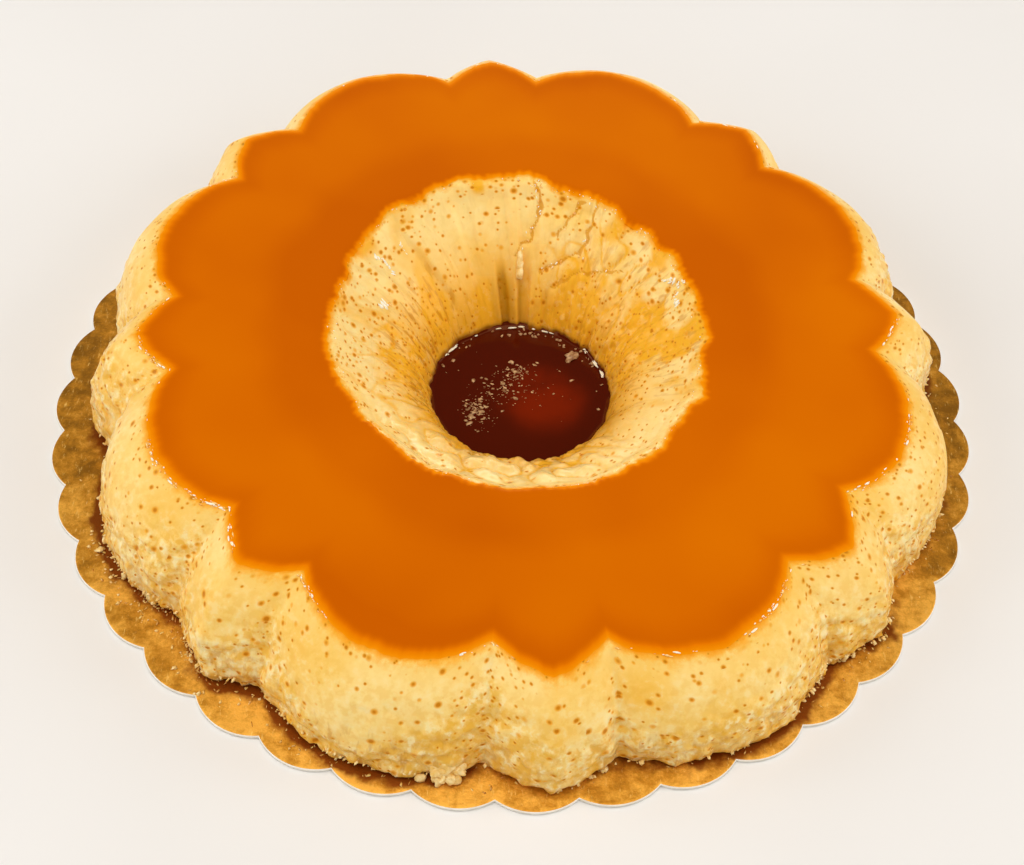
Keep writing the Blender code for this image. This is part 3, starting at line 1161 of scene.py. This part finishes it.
    def _dress_hole(self, vertex: bmesh.types.BMVert, turn: float, arc: float, normal: Vector,
                    flow: Any) -> dict[str, float]:
        """Give a vertex of the hole's wall its relief.

        Args:
            vertex: The vertex, on the plain form.
            turn: Its turn.
            arc: Its distance along the section.
            normal: The plain form's normal there.
            flow: Layer for its coordinates along the wall.

        Returns:
            Its marks for the finish.
        """
        form = self.form
        down = min(max(1 - arc / form.lip_arc, 0.0), 1.0)
        spot = vertex.co.copy()
        along = polar(self.flow_in_hole, turn, arc)
        drawn_out = Vector((along.x, along.y, arc * 0.6))
        curdled = self.curdled_in_hole(turn, down)
        relief = self.hole_relief(spot, drawn_out, turn, down, curdled)
        vertex.co += normal * (relief * MM * ease(down, 1.0, 0.97))
        vertex[flow] = along
        left, right = near_turn(turn, *self.left_side), near_turn(turn, *self.right_side)
        blotch = 0.5 + crumbly(Vector((along.x, along.y, arc * 0.5)) / 0.012)
        curd = crumbly(spot / 0.006)
        above_pool = spot.z - form.caramel_level - 0.8 * MM * noise.noise(spot / 0.004)

        # Amber deepens towards the pool, on the right, in the creases between curds, as caramel and as
        # painted shade, and in two drops under the lip.
        drops = max(near_turn(turn, 150, 6) * ease(down, 0.16, 0.05),
                    near_turn(turn, 105, 2.6) * ease(down, 0.10, 0.04))
        crease = ease(self.lump_height(drawn_out), 0.10, 0.02) * curdled
        amber = 0.90 * ease(down, 0.16, 0.80) + 1.0 * right * ease(blotch, 0.35, 0.75) + drops
        amber += 0.35 * left * ease(blotch, 0.45, 0.8) + 0.2 * ease(blotch, 0.6, 0.9) + 0.9 * crease
        return {
            "cloud": 0.76 + 0.25 * left * ease(down, 0.7, 0.3) + 0.5 * noise.noise(spot / 0.016),
            "soaked": ease(above_pool, 2.6 * MM, 0.6 * MM),
            "wet": min(1.0, 0.75 + 0.6 * noise.noise(spot / 0.012)),
            "milky": curdled * ease(curd, 0.0, 0.5) * (1 - 0.6 * right),
            # painted shade: grey in the hollows between curds
            "hollow": 0.15 * curdled * ease(curd, 0.0, -0.5),
            # painted shade in the pleats' folds
            "folded": ease(self.pleat(turn, down), -0.15, -0.8),
            "amber": min(amber, 1.0),
            "curdled": 0.18 * curdled,
            "cracked": form.crease(arc, turn),
            "streaked": min(1.0, 0.9 * left * ease(down, 0.25, 0.6) + 0.5 * right + 0.12),
            "pitted": min(1.0, 0.36 + 0.5 * left + 0.35 * right + 0.5 * ease(down, 0.25, 0.05)),
        }

    def _dress_wall(self, vertex: bmesh.types.BMVert, turn: float, arc: float, normal: Vector,
                    flow: Any) -> dict[str, float]:
        """Give a vertex of the outer wall its relief.

        Args:
            vertex: The vertex, on the plain form.
            turn: Its turn.
            arc: Its distance along the section.
            normal: The plain form's normal there.
            flow: Layer for its coordinates along the wall.

        Returns:
            Its marks for the finish.
        """
        form = self.form
        down = min(max((arc - form.rim_arc) / (form.length - form.rim_arc), 0.0), 1.0)
        spot = vertex.co.copy()
        fade = ease(down, 1.0, 0.985)
        curdled = self.curdled_on_wall(turn, down)
        vertex.co += normal * (self.wall_relief(spot, turn, down, curdled) * MM * fade)
        vertex.co += form.outward(spot) * self.fringe(spot, down) * fade
        vertex[flow] = polar(self.flow_on_wall, turn, arc)
        curd = crumbly(spot / 0.0065)
        patch = 0.5 + 0.5 * wander(turn, 34, 13)
        blush = ease(noise.noise(spot / 0.010 + Vector((3, 3, 3))), 0.1, 0.6)
        pitted = 0.20 + 0.5 * curdled * patch + 0.4 * form.valley(turn) + 0.3 * near_turn(turn, -25, 40)
        pitted += 0.45 * ease(down, 0.20, 0.05)
        return {
            "cloud": 0.5 + 0.4 * noise.noise(spot / 0.018),
            "soaked": 0.0,
            "wet": 0.25 + 0.4 * noise.noise(spot / 0.010) + 0.4 * curdled,
            "milky": 0.8 * curdled * ease(curd, 0.0, 0.6),
            # painted shade: grey in the hollows between curds and towards the wall's foot
            "hollow": min(1.0, 0.35 * curdled * ease(curd, -0.1, -0.6) + 0.32 * ease(down, 0.55, 0.95)),
            "amber": 0.15 * blush + 0.30 * ease(down, 0.80, 1.0),
            "curdled": max(curdled, 0.35 * ease(down, 0.05, 0.3)),
            "cracked": 0.0,
            "folded": 0.0,
            "streaked": (0.25 + 0.6 * patch) * ease(down, 0.45, 0.75),
            "pitted": min(1.0, pitted) * (1 - 0.6 * near_turn(turn, 90, 80)),
        }

    def make(self, finish: bpy.types.Material) -> bpy.types.Object:
        """Build and place the ring."""
        return place_piece(self.build(), "custard_ring_baked", [finish], ["custard_ring"])


@dataclass
class CaramelTop:
    """The thin film of caramel over the flat top, dipping into the custard at both borders."""

    form: RingForm
    columns: int = 960
    overhang: float = 2.4 * MM
    buried: float = 0.9 * MM
    dip: float = 0.35 * MM
    crisp: float = 1.8  # how much faster the film thins at the hole than at the rim

    def _rows(self) -> list[float]:
        """Rows across the film, close together at its borders.

        Returns:
            Distances along the section, those of its underside below 0.
        """
        start, end = self.form.lip_arc - self.overhang, self.form.rim_arc + self.overhang
        low, high = self.form.lip_arc, self.form.rim_arc
        bands = ((start, 0.30), (low + 3 * MM, 1.2), (low + 9 * MM, 3.5), (high - 9 * MM, 1.2),
                 (high - 3 * MM, 0.30), (end, 0.0))
        over = [row for (first, spacing), (last, _) in zip(bands, bands[1:])
                for row in spaced(first, last, spacing * MM)[:-1]] + [end]
        return over + [-row for row in reversed(spaced(start, end, 6 * MM)[1:-1])]

    def build(self) -> bmesh.types.BMesh:
        """Make the film.

        Returns:
            The closed film with its attributes film and tone.
        """
        form = self.form
        shape = bmesh.new()
        turned(shape, self._rows(), self.columns, closed=True)
        along = shape.verts.layers.float["along"]
        film = shape.verts.layers.float.new("film")
        tone = shape.verts.layers.float.new("tone")
        for vertex in shape.verts:
            turn = turn_of(vertex.co)
            arc = abs(vertex[along])
            inset = -form.bare(arc, turn)
            radius, _ = form.at(arc)
            place = form.on_section(arc, turn)
            if vertex[along] < 0:
                place.z -= self.buried
            else:
                rise = form.film * (1.25 * ease(inset, -1.2 * MM, 1.6 * MM) - 0.25)
                place.z += rise - self.dip * ease(inset, -0.2 * MM, -2.0 * MM)
            vertex[film] = inset / MM * (self.crisp if arc < form.middle_arc else 1.0)
            band = ease(radius, 0.076, 0.090) * ease(inset, 3 * MM, 14 * MM)
            front = near_turn(turn, 270, 70) * ease(radius, 0.098, 0.112)
            vertex[tone] = 0.10 + 0.14 * band - 0.05 * front
            vertex.co = place
        face_outwards(shape)
        return shape

    def make(self, finish: bpy.types.Material) -> bpy.types.Object:
        """Build and place the film."""
        return place_piece(self.build(), "caramel_top", [finish])


@dataclass
class CaramelPool:
    """Liquid caramel in the hole, with a meniscus that climbs the custard."""

    form: RingForm
    climb: float = 0.8 * MM
    climb_width: float = 1.8 * MM
    reach: float = 3.4 * MM  # how far it runs on into the custard, behind the deepest fold
    foot_row: float = 0.020  # radius of the inner row of its underside
    columns: int = 240

    def build(self) -> bmesh.types.BMesh:
        """Make the pool.

        Returns:
            The closed pool.
        """
        form = self.form
        level = form.caramel_level - form.board_top
        shore = next(radius for radius, height in form.section if height >= level)
        inner, outer = shore - 3 * MM, shore + self.reach
        rows = (spaced(0.0, inner, 3 * MM)[1:] + spaced(inner, shore + 1.2 * MM, 0.2 * MM)[1:]
                + [outer, -outer, -self.foot_row])  # below 0 on the underside
        shape = bmesh.new()
        turned(shape, rows, self.columns)
        cap(shape, (rows[0], rows[-1]))
        along = shape.verts.layers.float["along"]
        for vertex in shape.verts:
            turn = turn_of(vertex.co)
            radius = abs(vertex[along])
            if vertex[along] < 0:
                height = form.gap
            else:
                height = level + self.climb * ease(radius, shore - self.climb_width, shore + 0.6 * MM) ** 2
            vertex.co = form.settle(radius, turn, min(height, level))
            if vertex[along] > 0:
                vertex.co.z += height - min(height, level)
        face_outwards(shape)
        return shape

    def make(self, finish: bpy.types.Material) -> bpy.types.Object:
        """Build and place the pool."""
        return place_piece(self.build(), "caramel_pool_liquid", [finish], ["caramel_pool"])


@dataclass
class GoldBoard:
    """Round card with a scalloped edge, gold foil on top and bare card at its cut edge."""

    radius: float = 0.14997
    scallops: int = 40
    scallop_depth: float = 0.0036
    top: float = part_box("cake_board")[1].z
    foil: float = 0.25 * MM
    dents: float = 0.16 * MM
    columns: int = 960

    def edge_radius(self, turn: float) -> float:
        """Follow the scalloped outline: equal arcs that meet in notches.

        Args:
            turn: Turn about the axis.

        Returns:
            The outline's radius there.
        """
        pitch = 2 * math.pi / self.scallops
        notch = self.radius - self.scallop_depth
        chord = notch * math.sin(pitch / 2)
        rise = self.radius - notch * math.cos(pitch / 2)
        arc = (chord**2 + rise**2) / (2 * rise)
        centre = self.radius - arc
        off = (turn % pitch) - pitch / 2
        return centre * math.cos(off) + math.sqrt(max(arc**2 - (centre * math.sin(off)) ** 2, 0.0))

    def build(self, form: RingForm) -> bmesh.types.BMesh:
        """Make the board.

        Args:
            form: The ring that stands on it.

        Returns:
            The closed board; material 0 is foil, 1 is card.
        """
        below = {-3: (60 * MM, 0.0), -2: (0.15 * MM, 0.0), -1: (0.0, self.top - self.foil)}  # inset, height
        insets = [0.25 * MM, 0.7 * MM] + spaced(1.4 * MM, 16 * MM, 1.1 * MM) + [30 * MM, 60 * MM, 100 * MM]
        rows = [float(row) for row in below] + insets
        shape = bmesh.new()
        turned(shape, rows, self.columns)
        cap(shape, (rows[0], rows[-1]))
        along = shape.verts.layers.float["along"]
        seep_and_shade = shape.verts.layers.float.new("seep_and_shade")
        for vertex in shape.verts:
            turn = turn_of(vertex.co)
            row = vertex[along]
            if row < 0:
                inset, height = below[round(row)]
            else:
                inset, height = row, self.top - (0.06 * MM if row < 0.4 * MM else 0.0)
            spot = polar(self.edge_radius(turn) - inset, turn, height)
            if row > 1 * MM:
                dent = noise.noise(Vector((spot.x, spot.y, 0)) / 0.012)
                dent += 0.6 * noise.noise(Vector((spot.x, spot.y, 1)) / 0.005)
                spot.z -= self.dents * max(dent, 0)
            away = form.from_axis(spot) - form.from_axis(form.on_section(form.length, turn))
            # syrup and painted shadow, strongest at the ring's foot
            vertex[seep_and_shade] = ease(away, 9 * MM, 0.0) * (0.55 + 0.45 * wander(turn, 14, 31))
            vertex.co = spot
        for face in shape.faces:
            face.material_index = 0 if all(vertex[along] > -0.5 for vertex in face.verts) else 1
        face_outwards(shape)
        return shape

    def make(self, form: RingForm, foil: bpy.types.Material, card: bpy.types.Material) -> bpy.types.Object:
        """Build and place the board.

        Args:
            form: The ring that stands on it.
            foil: Finish of its top.
            card: Finish of its cut edge and underside.

        Returns:
            The piece.
        """
        piece = place_piece(self.build(form), "gold_cake_board", [foil, card], ["cake_board"])
        piece.data.set_sharp_from_angle(angle=math.radians(50))
        return piece


@dataclass
class Scatter:
    """Many small lumps in one piece."""

    seed: int
    shape: bmesh.types.BMesh = field(default_factory=bmesh.new)
    draw: random.Random = field(init=False)

    def __post_init__(self) -> None:
        """Start the random draws."""
        self.draw = random.Random(self.seed)

    def lump(self, centre: Vector, size: Sequence[float], detail: int, ragged: float,
             facing: Optional[Vector] = None) -> None:
        """Add one lump.

        Args:
            centre: Its middle.
            size: Its three radii.
            detail: Subdivisions of the ball it is made from; 1 has 20 faces and 2 has 80.
            ragged: Share of its radius by which its surface goes in and out.
            facing: Direction of its first radius; where there is none, it is turned at random.
        """
        if facing:
            spin = facing.to_track_quat("X", "Z").to_matrix().to_4x4()
        else:
            spin = (Matrix.Rotation(self.draw.uniform(0, 2 * math.pi), 4, "Z")
                    @ Matrix.Rotation(self.draw.uniform(0, math.pi), 4, "X"))
        ball = bmesh.new()
        bmesh.ops.create_icosphere(ball, subdivisions=detail, radius=1.0)
        offset = Vector([self.draw.uniform(-50, 50) for _ in range(3)])
        for vertex in ball.verts:
            vertex.co *= 1 + ragged * noise.noise(vertex.co * 1.5 + offset)
        bmesh.ops.transform(ball, matrix=Matrix.Translation(centre) @ spin @ Matrix.Diagonal((*size, 1.0)),
                            verts=ball.verts)
        mesh = bpy.data.meshes.new("lump")
        ball.to_mesh(mesh)
        ball.free()
        self.shape.from_mesh(mesh)
        bpy.data.meshes.remove(mesh)


@dataclass
class Trimmings:
    """Crumbs, curds and caramel beads: what lies loose on the flan and its board."""

    form: RingForm
    top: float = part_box("cake_board")[1].z
    crumbs_end: float = 0.1465  # radii on the board that crumbs and flakes stay inside
    flakes_end: float = 0.1462
    curds_end: float = 0.027  # and one on the pool for the curds
    lip_beads: int = 240
    shreds: int = 1100
    foot_crumbs: int = 700
    strewn_crumbs: int = 90
    flake_count: int = 520
    shore_curds: int = 40
    # Beads on the caramel's outer border: middle and half width in degrees, and how many.
    border_beads: Stretches = (
        (-169, 5, 26), (-148, 7, 44), (-139, 4, 34), (-131.5, 3, 18), (-116.5, 4, 26), (3, 4, 16),
        (-15, 5, 26), (-27, 5, 20), (-52, 6, 44), (180, 5, 10), (150, 4, 8), (-92, 6, 8), (-70, 8, 10),
        (60, 20, 12), (110, 22, 12))
    # Trails of wet syrup down the hole's wall, their white drops painted glints: path, thickness and spread
    # in mm, and how many drops.
    trails: tuple[tuple[Path, float, float, int], ...] = (
        (((150, 6), (148, 9), (148, 14), (153, 19)), 0.42, 0.25, 30), (((133, 8), (133, 15)), 0.5, 0.3, 16),
        (((138, 10), (138, 15)), 0.4, 0.2, 8), (((160, 19), (165, 16)), 0.75, 0.5, 9),
        (((31, 7), (27, 4), (24, 3), (22, 8), (18, 6)), 0.45, 0.35, 30), (((24, 1), (26, 3)), 0.4, 0.3, 6))
    crack_syrup: tuple[tuple[float, float, int], ...] = (
        (0.28, 0.7, 26), (0.28, 0.7, 26), (0.2, 0.6, 8), (0.2, 0.6, 8))  # the same for each crack
    # Glints where the pool meets the custard, painted as white beads: middle and half width in degrees, and
    # how many.
    pool_glints: Stretches = ((142, 8, 14), (20, 5, 7), (33, 5, 6), (46, 5, 5), (100, 30, 8))
    # The broken chunk in front: its middle, and each lump's shift and radius in mm.
    chunk: tuple[float, float, float] = (-0.0137, -0.1392, 0.0029)
    chunk_lumps: tuple[tuple[tuple[float, float, float], float], ...] = (
        ((0, 0, 0), 3.8), ((-2.6, -0.6, 0.8), 2.6), ((2.9, 0.4, -0.4), 2.5), ((0.8, 1.8, 1.8), 2.4),
        ((-1.2, -2.2, -1.2), 2.0), ((1.5, -1.9, -0.8), 1.8))
    # The dried drip down the hole's far wall: height, shift, length and thickness of each lump in mm.
    drip_turn: float = math.radians(92)
    drip_radius: float = 0.045
    drip_sunk: float = 1.7 * MM
    drip: tuple[tuple[float, float, float, float], ...] = (
        (19.6, 0.0, 2.3, 1.3), (21.6, 0.0, 2.4, 1.2), (23.8, -0.2, 2.2, 0.9))
    # Flocks of curd on the pool: place and spread in mm, and how many.
    flocks: tuple[tuple[float, float, float, int], ...] = (
        (-12.5, -7.0, 2.8, 110), (0.5, 9.0, 2.6, 80), (-5.0, 1.5, 5.0, 70), (-11.0, -13.0, 3.0, 36),
        (2.0, 3.0, 9.0, 70))
    large_curd: tuple[float, float, float] = (0.0187, 0.0180, 0.0)
    # Flakes on the foil: middle and spread in degrees, the front left twice as it has most of them.
    flaked: Sequence[tuple[float, float]] = ((-138, 12), (-138, 12), (-105, 14), (-45, 14), (0, 18))

    def beads(self, syrup: bpy.types.Material, froth_and_glints: bpy.types.Material) -> list[bpy.types.Object]:
        """String beads of syrup and tiny bubbles along the caramel's borders, trails and pool; the white
        ones are also painted glints.

        Args:
            syrup: Finish of the clear beads.
            froth_and_glints: Finish of the white ones, froth and painted glints.

        Returns:
            Both pieces.
        """
        clear, white = Scatter(seed=5), Scatter(seed=6)
        form, draw = self.form, clear.draw
        for centre, half, count in self.border_beads:
            for _ in range(count):
                turn = math.radians(draw.gauss(centre, half * 0.5)) - form.first_valley
                spot = form.on_section(form.rim_arc + draw.gauss(0.4, 0.5) * MM, turn)
                spot.z += form.film * 0.4
                size = (0.09 + 0.24 * draw.random() ** 2.2) * MM
                tangent = form.on_section(form.rim_arc, turn + 0.004) - form.on_section(form.rim_arc, turn)
                heap = white if draw.random() < 0.55 else clear
                heap.lump(spot, (size * draw.uniform(1.0, 4.5), size, size), detail=2, ragged=0.4,
                          facing=tangent)
        in_cracks = tuple((path, *syrup_there) for path, syrup_there in zip(form.creases, self.crack_syrup))
        for path, thick, spread, count in in_cracks + self.trails:
            for _ in range(count):
                arc, turn = form.crease_place(path, draw.random())
                arc, turn = arc + draw.gauss(0, spread) * MM, turn + draw.gauss(0, spread) * 0.02
                spot = form.on_section(arc, turn)
                below = form.on_section(arc - 1 * MM, turn + draw.gauss(0, 0.008))
                size = draw.uniform(0.4, 1.0) * thick * MM
                heap = white if draw.random() < (0.85 if thick > 0.3 else 0.4) else clear
                heap.lump(spot, (size * draw.uniform(1.0, 3.0), size, size * 0.7), detail=2, ragged=0.6,
                          facing=below - spot)
        level = form.caramel_level - form.board_top
        for centre, half, count in self.pool_glints:
            for _ in range(count):
                turn = math.radians(draw.gauss(centre, half * 0.5))
                spot = form.settle(draw.uniform(29.6, 30.4) * MM, turn, level) + Vector((0, 0, 0.5 * MM))
                size = draw.uniform(0.14, 0.36) * MM
                tangent = Vector((-math.sin(turn), math.cos(turn), 0))
                white.lump(spot, (size * draw.uniform(1.5, 6.0), size, size), detail=2, ragged=0.4,
                           facing=tangent)
        for _ in range(self.lip_beads):
            turn = draw.uniform(-math.pi, math.pi)
            spot = form.on_section(form.lip_arc + draw.gauss(-0.7, 0.8) * MM, turn)
            size = draw.uniform(0.10, 0.26) * MM
            heap = white if draw.random() < 0.3 + 0.5 * near_turn(turn, 60, 60) else clear
            heap.lump(spot, (size, size, size), detail=1, ragged=0.2)
        return [self._finish(clear, "syrup_beads", syrup),
                self._finish(white, "froth_and_glints", froth_and_glints)]

    def hole_wall(self, turn: float, height: float) -> Vector:
        """Find a place on the hole's wall.

        Args:
            turn: Its turn.
            height: Its height above the board's underside on the level ring.

        Returns:
            The place.
        """
        places = zip(self.form.arcs, self.form.section)
        arc = next(arc for arc, (_, up) in places if up >= height - self.top)
        return self.form.on_section(arc, turn)

    def _finish(self, heap: Scatter, name: str, finish: bpy.types.Material) -> bpy.types.Object:
        """Place a heap as one piece."""
        face_outwards(heap.shape)
        return place_piece(heap.shape, name, [finish])

    def crumbs(self, finish: bpy.types.Material) -> bpy.types.Object:
        """Lay custard crumbs along the ring's foot and on the board, and one broken chunk.

        Args:
            finish: Their finish.

        Returns:
            The piece.
        """
        heap = Scatter(seed=8)
        form, draw = self.form, heap.draw
        for _ in range(self.shreds):  # they stick out all along the foot
            turn = draw.uniform(-math.pi, math.pi)
            if draw.random() > 0.15 + 0.55 * wander(turn, 30, 41) + 0.5 * max(bells(turn, form.crumbling)):
                continue
            spot = form.on_section(form.length - draw.uniform(0.8, 5.5) * MM, turn)
            outward = form.outward(spot)
            spot += outward * draw.uniform(0.2, 0.8) * MM
            facing = outward + Vector((draw.gauss(0, 0.4), draw.gauss(0, 0.4), draw.gauss(-0.3, 0.3)))
            length = draw.uniform(0.35, 1.05) * MM
            spot.z = max(spot.z, self.top + 0.35 * MM)
            heap.lump(spot, (length, length * draw.uniform(0.3, 0.7), length * 0.4), detail=1, ragged=0.8,
                      facing=facing)
        for _ in range(self.foot_crumbs):
            turn = draw.uniform(-math.pi, math.pi)
            if draw.random() > 0.22 + 0.6 * wander(turn, 22, 43) + 0.3 * near_turn(turn, -140, 40):
                continue
            size = min(draw.expovariate(2.0) * 0.5 + 0.25, 1.5) * MM
            spot = form.on_section(form.length - draw.uniform(0.5, 4.5) * MM, turn)
            spot += form.outward(spot) * draw.uniform(0.1, 1.0) * MM
            spot.z = max(spot.z - 1 * MM, self.top + size * 0.5)
            heap.lump(spot, (size, size * draw.uniform(0.6, 1.0), size * draw.uniform(0.5, 0.9)), detail=2,
                      ragged=0.9)
        for _ in range(self.strewn_crumbs):
            in_front = draw.random() < 0.75
            turn = math.radians(draw.gauss(-140, 14)) if in_front else draw.uniform(-math.pi, math.pi)
            size = min(draw.expovariate(2.2) * 0.45 + 0.18, 1.3) * MM
            spot = form.on_section(form.length, turn)
            spot += form.outward(spot) * draw.uniform(1.0, 9.5) * MM
            spot.z = self.top + size * 0.35
            if math.hypot(spot.x, spot.y) < self.crumbs_end:
                heap.lump(spot, (size, size * draw.uniform(0.5, 1.0), size * 0.5), detail=2, ragged=0.9,
                          facing=form.outward(spot))
        chunk = Vector(self.chunk) + Vector((0, 0, self.top))
        for shift, size in self.chunk_lumps:
            heap.lump(chunk + Vector(shift) * MM, (size * MM, size * 0.85 * MM, size * 0.8 * MM), detail=4,
                      ragged=0.9)
        for up, across, length, thick in self.drip:
            turn = self.drip_turn + across * MM / self.drip_radius
            spot, higher = self.hole_wall(turn, up * MM), self.hole_wall(turn, (up + 1) * MM)
            slope = higher - spot
            spot -= form.outward(spot) * self.drip_sunk
            heap.lump(spot, (length * MM, thick * MM, thick * MM), detail=3, ragged=0.35, facing=slope)
        for vertex in heap.shape.verts:
            vertex.co.z = max(vertex.co.z, self.top)
        return self._finish(heap, "custard_crumbs", finish)

    def flakes(self, finish: bpy.types.Material) -> bpy.types.Object:
        """Strew thin splinters of dried syrup on the foil.

        Args:
            finish: Their finish.

        Returns:
            The piece.
        """
        heap = Scatter(seed=21)
        form, draw = self.form, heap.draw
        for _ in range(self.flake_count):
            turn = math.radians(draw.gauss(*draw.choice(self.flaked)))
            spot = form.on_section(form.length, turn)
            spot += form.outward(spot) * min(draw.expovariate(0.28), 13.0) * MM
            length = draw.uniform(0.15, 0.9) * MM
            spot.z = self.top + 0.05 * MM
            facing = Vector((draw.gauss(0, 1), draw.gauss(0, 1), 0.0))
            if math.hypot(spot.x, spot.y) < self.flakes_end:
                heap.lump(spot, (length, length * draw.uniform(0.2, 0.6), 0.10 * MM), detail=1, ragged=1.0,
                          facing=facing)
        return self._finish(heap, "syrup_flakes", finish)

    def floating(self, finish: bpy.types.Material) -> bpy.types.Object:
        """Float curds and froth on the liquid caramel, in flocks and along its shore.

        Args:
            finish: Their finish.

        Returns:
            The piece.
        """
        heap = Scatter(seed=13)
        form, draw = self.form, heap.draw
        level = Vector((0, 0, form.caramel_level))
        for across, back, spread, _ in [flock for flock in self.flocks for _ in range(flock[3])]:
            shift = Vector((across + draw.gauss(0, spread), back + draw.gauss(0, spread * 0.8), 0))
            spot = level + shift * MM
            if math.hypot(spot.x, spot.y) > self.curds_end:
                continue
            size = min(0.08 + draw.expovariate(5.0), 1.1) * MM
            heap.lump(spot, (size, size * draw.uniform(0.4, 0.9), size * 0.2), detail=2, ragged=1.1,
                      facing=Vector((1, draw.uniform(-1, 1), 0)))
        for _ in range(self.shore_curds):
            turn = math.radians(draw.gauss(75, 36))
            spot = form.settle(draw.uniform(26.5, 29.5) * MM, turn, form.caramel_level - form.board_top)
            size = draw.uniform(0.2, 0.8) * MM
            heap.lump(spot, (size, size * 0.8, size * 0.4), detail=2, ragged=0.8)
        heap.lump(level + Vector(self.large_curd), (2.4 * MM, 1.9 * MM, 0.8 * MM), detail=3, ragged=0.8,
                  facing=Vector((1, 1, 0)))
        return self._finish(heap, "floating_curds", finish)


# ---------------------------------------------------------------------------------------------
# Studio
# ---------------------------------------------------------------------------------------------


@dataclass
class Studio:
    """Pale floor, soft lights and the camera."""

    floor_half: float = 3.0
    floor_gap: float = 0.2 * MM  # between the floor and the board's underside
    lens: float = 54.95
    sensor: float = 36.0
    aim: tuple[float, float, float] = (-0.0002, -0.0470, 0.0387)
    distance: float = 0.4599
    elevation: float = math.radians(49.15)
    roll: float = math.radians(2.793)
    lit: tuple[float, float, float] = (0.0, 0.0, 0.02)  # where the lights face
    surround: float = 0.17

    def floor(self) -> None:
        """Lay a plain pale table top."""
        shape = bmesh.new()
        bmesh.ops.create_grid(shape, x_segments=1, y_segments=1, size=self.floor_half)
        mesh = bpy.data.meshes.new("floor")
        shape.to_mesh(mesh)
        shape.free()
        floor = bpy.data.objects.new("floor", mesh)
        floor.location.z = -self.floor_gap
        bpy.context.scene.collection.objects.link(floor)
        mesh.materials.append(PlainFinish("pale_floor", "#e9e6e2", "#efedea", 0.7, cloud=400.0).material())

    def light(self, name: str, place: tuple[float, float, float], size: tuple[float, float], power: float,
              colour: str = "#ffffff") -> None:
        """Hang one rectangular area light that faces the flan.

        Args:
            name: Its name.
            place: Where it hangs.
            size: Its width and height.
            power: In watts.
            colour: Its colour.
        """
        data = bpy.data.lights.new(name, "AREA")
        data.shape = "RECTANGLE"
        data.size, data.size_y = size
        data.energy = power
        data.color = linear(colour)[:3]
        lamp = bpy.data.objects.new(name, data)
        lamp.location = place
        lamp.rotation_euler = (Vector(self.lit) - lamp.location).to_track_quat("-Z", "Y").to_euler()
        bpy.context.scene.collection.objects.link(lamp)

    def camera(self) -> None:
        """Look down on the flan from the front."""
        data = bpy.data.cameras.new("camera")
        data.lens = self.lens
        data.sensor_width = self.sensor
        data.clip_start = 0.01
        camera = bpy.data.objects.new("camera", data)
        back = Vector((0.0, -math.cos(self.elevation), math.sin(self.elevation)))
        camera.location = Vector(self.aim) + back * self.distance
        camera.rotation_euler = (Matrix.Rotation(math.pi / 2 - self.elevation, 4, "X")
                                 @ Matrix.Rotation(self.roll, 4, "Z")).to_euler()
        bpy.context.scene.collection.objects.link(camera)
        bpy.context.scene.camera = camera

    def build(self) -> None:
        """Set up everything that isn't part of the flan."""
        self.floor()
        self.light("overhead", (0.0, -0.12, 1.5), (1.4, 1.1), 12.5, "#fff9f2")
        self.light("left_soft", (-1.1, -0.75, 0.65), (0.9, 0.9), 4.0)
        self.light("right_soft", (1.1, -0.75, 0.65), (0.9, 0.9), 3.4)
        self.light("front_soft", (0.0, -1.5, 0.6), (1.0, 1.0), 1.8)
        self.light("back_soft", (0.0, 1.5, 0.35), (1.2, 0.5), 7.0)
        self.light("left_side", (-1.2, 0.15, 0.60), (0.6, 0.8), 5.5)
        self.light("right_side", (1.2, 0.15, 0.60), (0.6, 0.8), 5.5)
        world = bpy.data.worlds.new("studio")
        world.use_nodes = True
        connect(world.node_tree, world.node_tree.nodes["Background"],
                {"Color": "#fff8f0", "Strength": self.surround})
        bpy.context.scene.world = world
        bpy.context.scene.view_settings.view_transform = "Standard"
        self.camera()


def main() -> None:
    """Build every piece in order, then the studio, and note the sizes."""
    logging.basicConfig(level=logging.INFO, format="%(name)s %(relativeCreated)6.0f ms: %(message)s")
    form = RingForm()
    custard = BakedCustard().material()
    caramel = SoakedCaramel().material()
    liquid = LiquidCaramel().material()
    foil = GoldFoil().material()
    card = PlainFinish("cut_card", "#e9e2d2", "#f7f3e8", 0.6).material()
    crumb = PlainFinish("custard_crumb", "#ecbc58", "#ffe6a4", 0.45, cloud=2.0, coat=0.2).material()
    curd = PlainFinish("floating_curd", "#8a5a30", "#d9b483", 0.5, cloud=1.5).material()
    bead = PlainFinish("syrup_bead", "#f3a42c", "#ffd884", 0.10, cloud=1.0, coat=0.5).material()
    # white beads: froth, and painted glints on the wet syrup
    froth_and_glints = PlainFinish("froth_and_glint_bead", "#fff4cc", "#fffdf0", 0.25, cloud=1.0).material()
    flake = PlainFinish("syrup_flake", "#c07414", "#ffdc7c", 0.25, cloud=5.0, coat=0.5).material()
    CustardRing(form).make(custard)
    CaramelTop(form).make(caramel)
    CaramelPool(form).make(liquid)
    GoldBoard().make(form, foil, card)
    trimmings = Trimmings(form)
    trimmings.beads(bead, froth_and_glints)
    trimmings.crumbs(crumb)
    trimmings.flakes(flake)
    trimmings.floating(curd)
    Studio().build()


if __name__ == "__main__":
    main()
